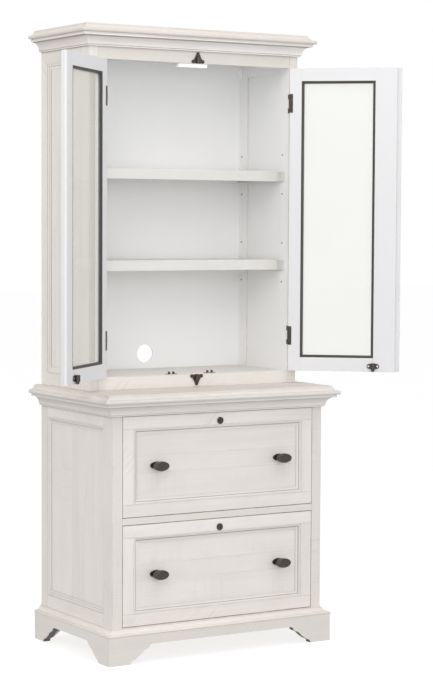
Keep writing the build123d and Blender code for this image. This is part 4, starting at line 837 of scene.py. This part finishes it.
def build_cases():
    """The two cases, with the side panels, crowns, tops and plinth that show from outside."""
    finished("base_frame_boards", "base_frame", [WASH])
    finished(
        "hutch_frame_boards", "hutch_frame", [WASH, INSIDE, HOLE_WOOD],
        choose=inside_hutch, tones={0: 0.3, 6: 0.4, 12: 0.35, 13: 0.85},
    )
    finished(
        "side_panel_planks", "side_panels", [PANEL_WASH, INSIDE, HOLE_WOOD], PLANK_EDGE,
        choose=side_panel_face, planks=joints_across(1, 0),
    )
    finished(
        "side_mouldings", "side_panel_mouldings", [TRIM_WASH, SHADED_FLANK_WASH], MOULDING_EDGE,
        choose=steep(0),
    )
    # Painted light and shade: in each cove the middle solid gets a light tone and the two outer ones a dark
    # tone, for how light falls on them.
    for case, tones in (("base", {0: 1.0, 1: 0.7, 2: 1.0}), ("hutch", {0: 0.9, 1: 0.0, 2: 0.9})):
        finished(
            f"{case}_crown_cove", f"{case}_cove_moulding", [CROWN_LIT_WASH, SHADED_FLANK_WASH],
            CROWN_EDGE, choose=under_step, tones=tones,
        )
    # The upper faces and the edges of the top boards take separate washes, as painted light and shade.
    for case, tone in (("base", 0.2), ("hutch", 1.0)):
        finished(
            f"{case}_top_board", f"{case}_top", [TOP_EDGE_PAINTED_SHADE_WASH, TOP_FACE_PAINTED_LIGHT_WASH], TOP_EDGE,
            choose=on_top, tones={0: tone},
        )
    finished(
        "plinth_feet_boards", "plinth_boards", [WASH, FOOT_EDGE_PAINTED_SHADE], SLIM_BOARD_EDGE,
        choose=foot_edge,
    )
    finished("plinth_moulding", "plinth_cap_moulding", [TRIM_WASH], CROWN_EDGE)


def build_hutch_lining():
    finished(
        "hutch_back_board", "hutch_back_panel", [INSIDE, WASH], THIN_BOARD_EDGE,
        choose=on_back,
    )
    finished("hutch_floor_board", "hutch_floor", [FLOOR_PAINT], THIN_BOARD_EDGE)
    finished("hutch_ceiling_board", "hutch_ceiling", [INSIDE], CEILING_EDGE)


def build_shelf(shelf):
    finished(
        f"{shelf}_board", shelf, [SHELF_PAINT], SLIM_BOARD_EDGE, tones=SHELF_TONES,
    )


def build_drawer(drawer):
    finished(
        f"{drawer}_rails_and_stiles", f"{drawer}_front_frame", [WASH], tones=DRAWER_TONES,
    )
    finished(
        f"{drawer}_planks", f"{drawer}_front_panel", [PANEL_WASH], PLANK_EDGE,
        planks=joints_across(2, 1),
    )
    finished(
        f"{drawer}_moulding", f"{drawer}_front_moulding", [TRIM_WASH, SHADED_FLANK_WASH],
        MOULDING_EDGE, choose=steep(1),
    )
    finished(f"{drawer}_box_boards", f"{drawer}_box", [BOX_WOOD], BOX_EDGE)
    finished(f"{drawer}_file_bars", f"{drawer}_file_rails", [ZINC], FILE_BAR_EDGE)
    finished(f"{drawer}_slide_inner", f"{drawer}_slide_members", [ZINC], SLIDE_EDGE)
    finished(f"{drawer}_slide_middle", f"{drawer}_slide_middles", [ZINC], SLIDE_EDGE)


def build_base_inside():
    finished("slide_outer_members", "slide_cabinet_members", [ZINC], SLIDE_EDGE)
    finished("base_back_board", "base_back_panel", [BOX_WOOD], THIN_BOARD_EDGE)
    finished("base_bottom_board", "base_bottom_panel", [BOX_WOOD], THIN_BOARD_EDGE)


def build_door(side):
    finished(
        f"{side}_door_boards", f"{side}_door_frame", [WASH, DOOR_INSIDE], SLIM_BOARD_EDGE,
        choose=door_inside,
    )
    finished(f"{side}_door_beads", f"{side}_door_glazing_beads", [BEAD], SMALL_EDGE)


def build_door_metal(side):
    finished(f"{side}_hinge_leaves", f"{side}_door_hinge_leaves", [BRONZE], AS_PACKED)
    finished(
        f"{side}_catch_case", f"{side}_door_catch", [BRONZE, BRIGHT_SCREW], AS_PACKED,
        of_solid=(0, 1, 1),
    )
    finished(f"{side}_catch_nose", f"{side}_door_catch_plunger", [BRONZE], AS_PACKED)


def build_bolt():
    """The fixed hinge leaves, the strikes and the bolt that holds the doors shut."""
    finished("hinge_fixed_leaves", "hinge_cabinet_leaves", [BRONZE], AS_PACKED)
    finished("strikes", "catch_strikes", [BRONZE], SMALL_EDGE)
    finished("keepers", "bolt_keepers", [BRONZE], KEEPER_EDGE)
    finished("bolt_case_and_guides", "bolt_case", [BRONZE], AS_PACKED)
    finished("bolt_handle", "bolt_knob", [BRONZE], AS_PACKED)


def build_drawer_metal(drawer):
    finished(f"{drawer}_knob_pair", f"{drawer}_knobs", [BRONZE], AS_PACKED)
    finished(f"{drawer}_lock_body", f"{drawer}_lock_case", [BRONZE], AS_PACKED)
    finished(f"{drawer}_lock_cylinder", f"{drawer}_lock_plug", [BRONZE], AS_PACKED)


def build_pins_and_lamp():
    finished("shelf_pin_set", "shelf_pins", [ZINC], AS_PACKED)
    finished("lamp_housing", "light_housing", [LAMP_BODY], LAMP_EDGE)
    finished("lamp_cover", "light_diffuser", [LAMP_GLOW], GLASS_EDGE)


make_camera()
make_light()
make_floor()
build_cases()
build_hutch_lining()
for level in LEVELS:
    build_shelf(f"{level}_shelf")
    build_drawer(f"{level}_drawer")
build_base_inside()
for side in SIDES:
    build_door(side)
for side in SIDES:
    build_door_metal(side)
build_bolt()
for level in LEVELS:
    finished(f"bolt_{level}_bar", f"bolt_{level}_rod", [BRONZE], AS_PACKED)
    build_drawer_metal(f"{level}_drawer")
build_pins_and_lamp()
for side in SIDES:
    finished(f"{side}_pane", f"{side}_door_glass", [GLASS], GLASS_EDGE)
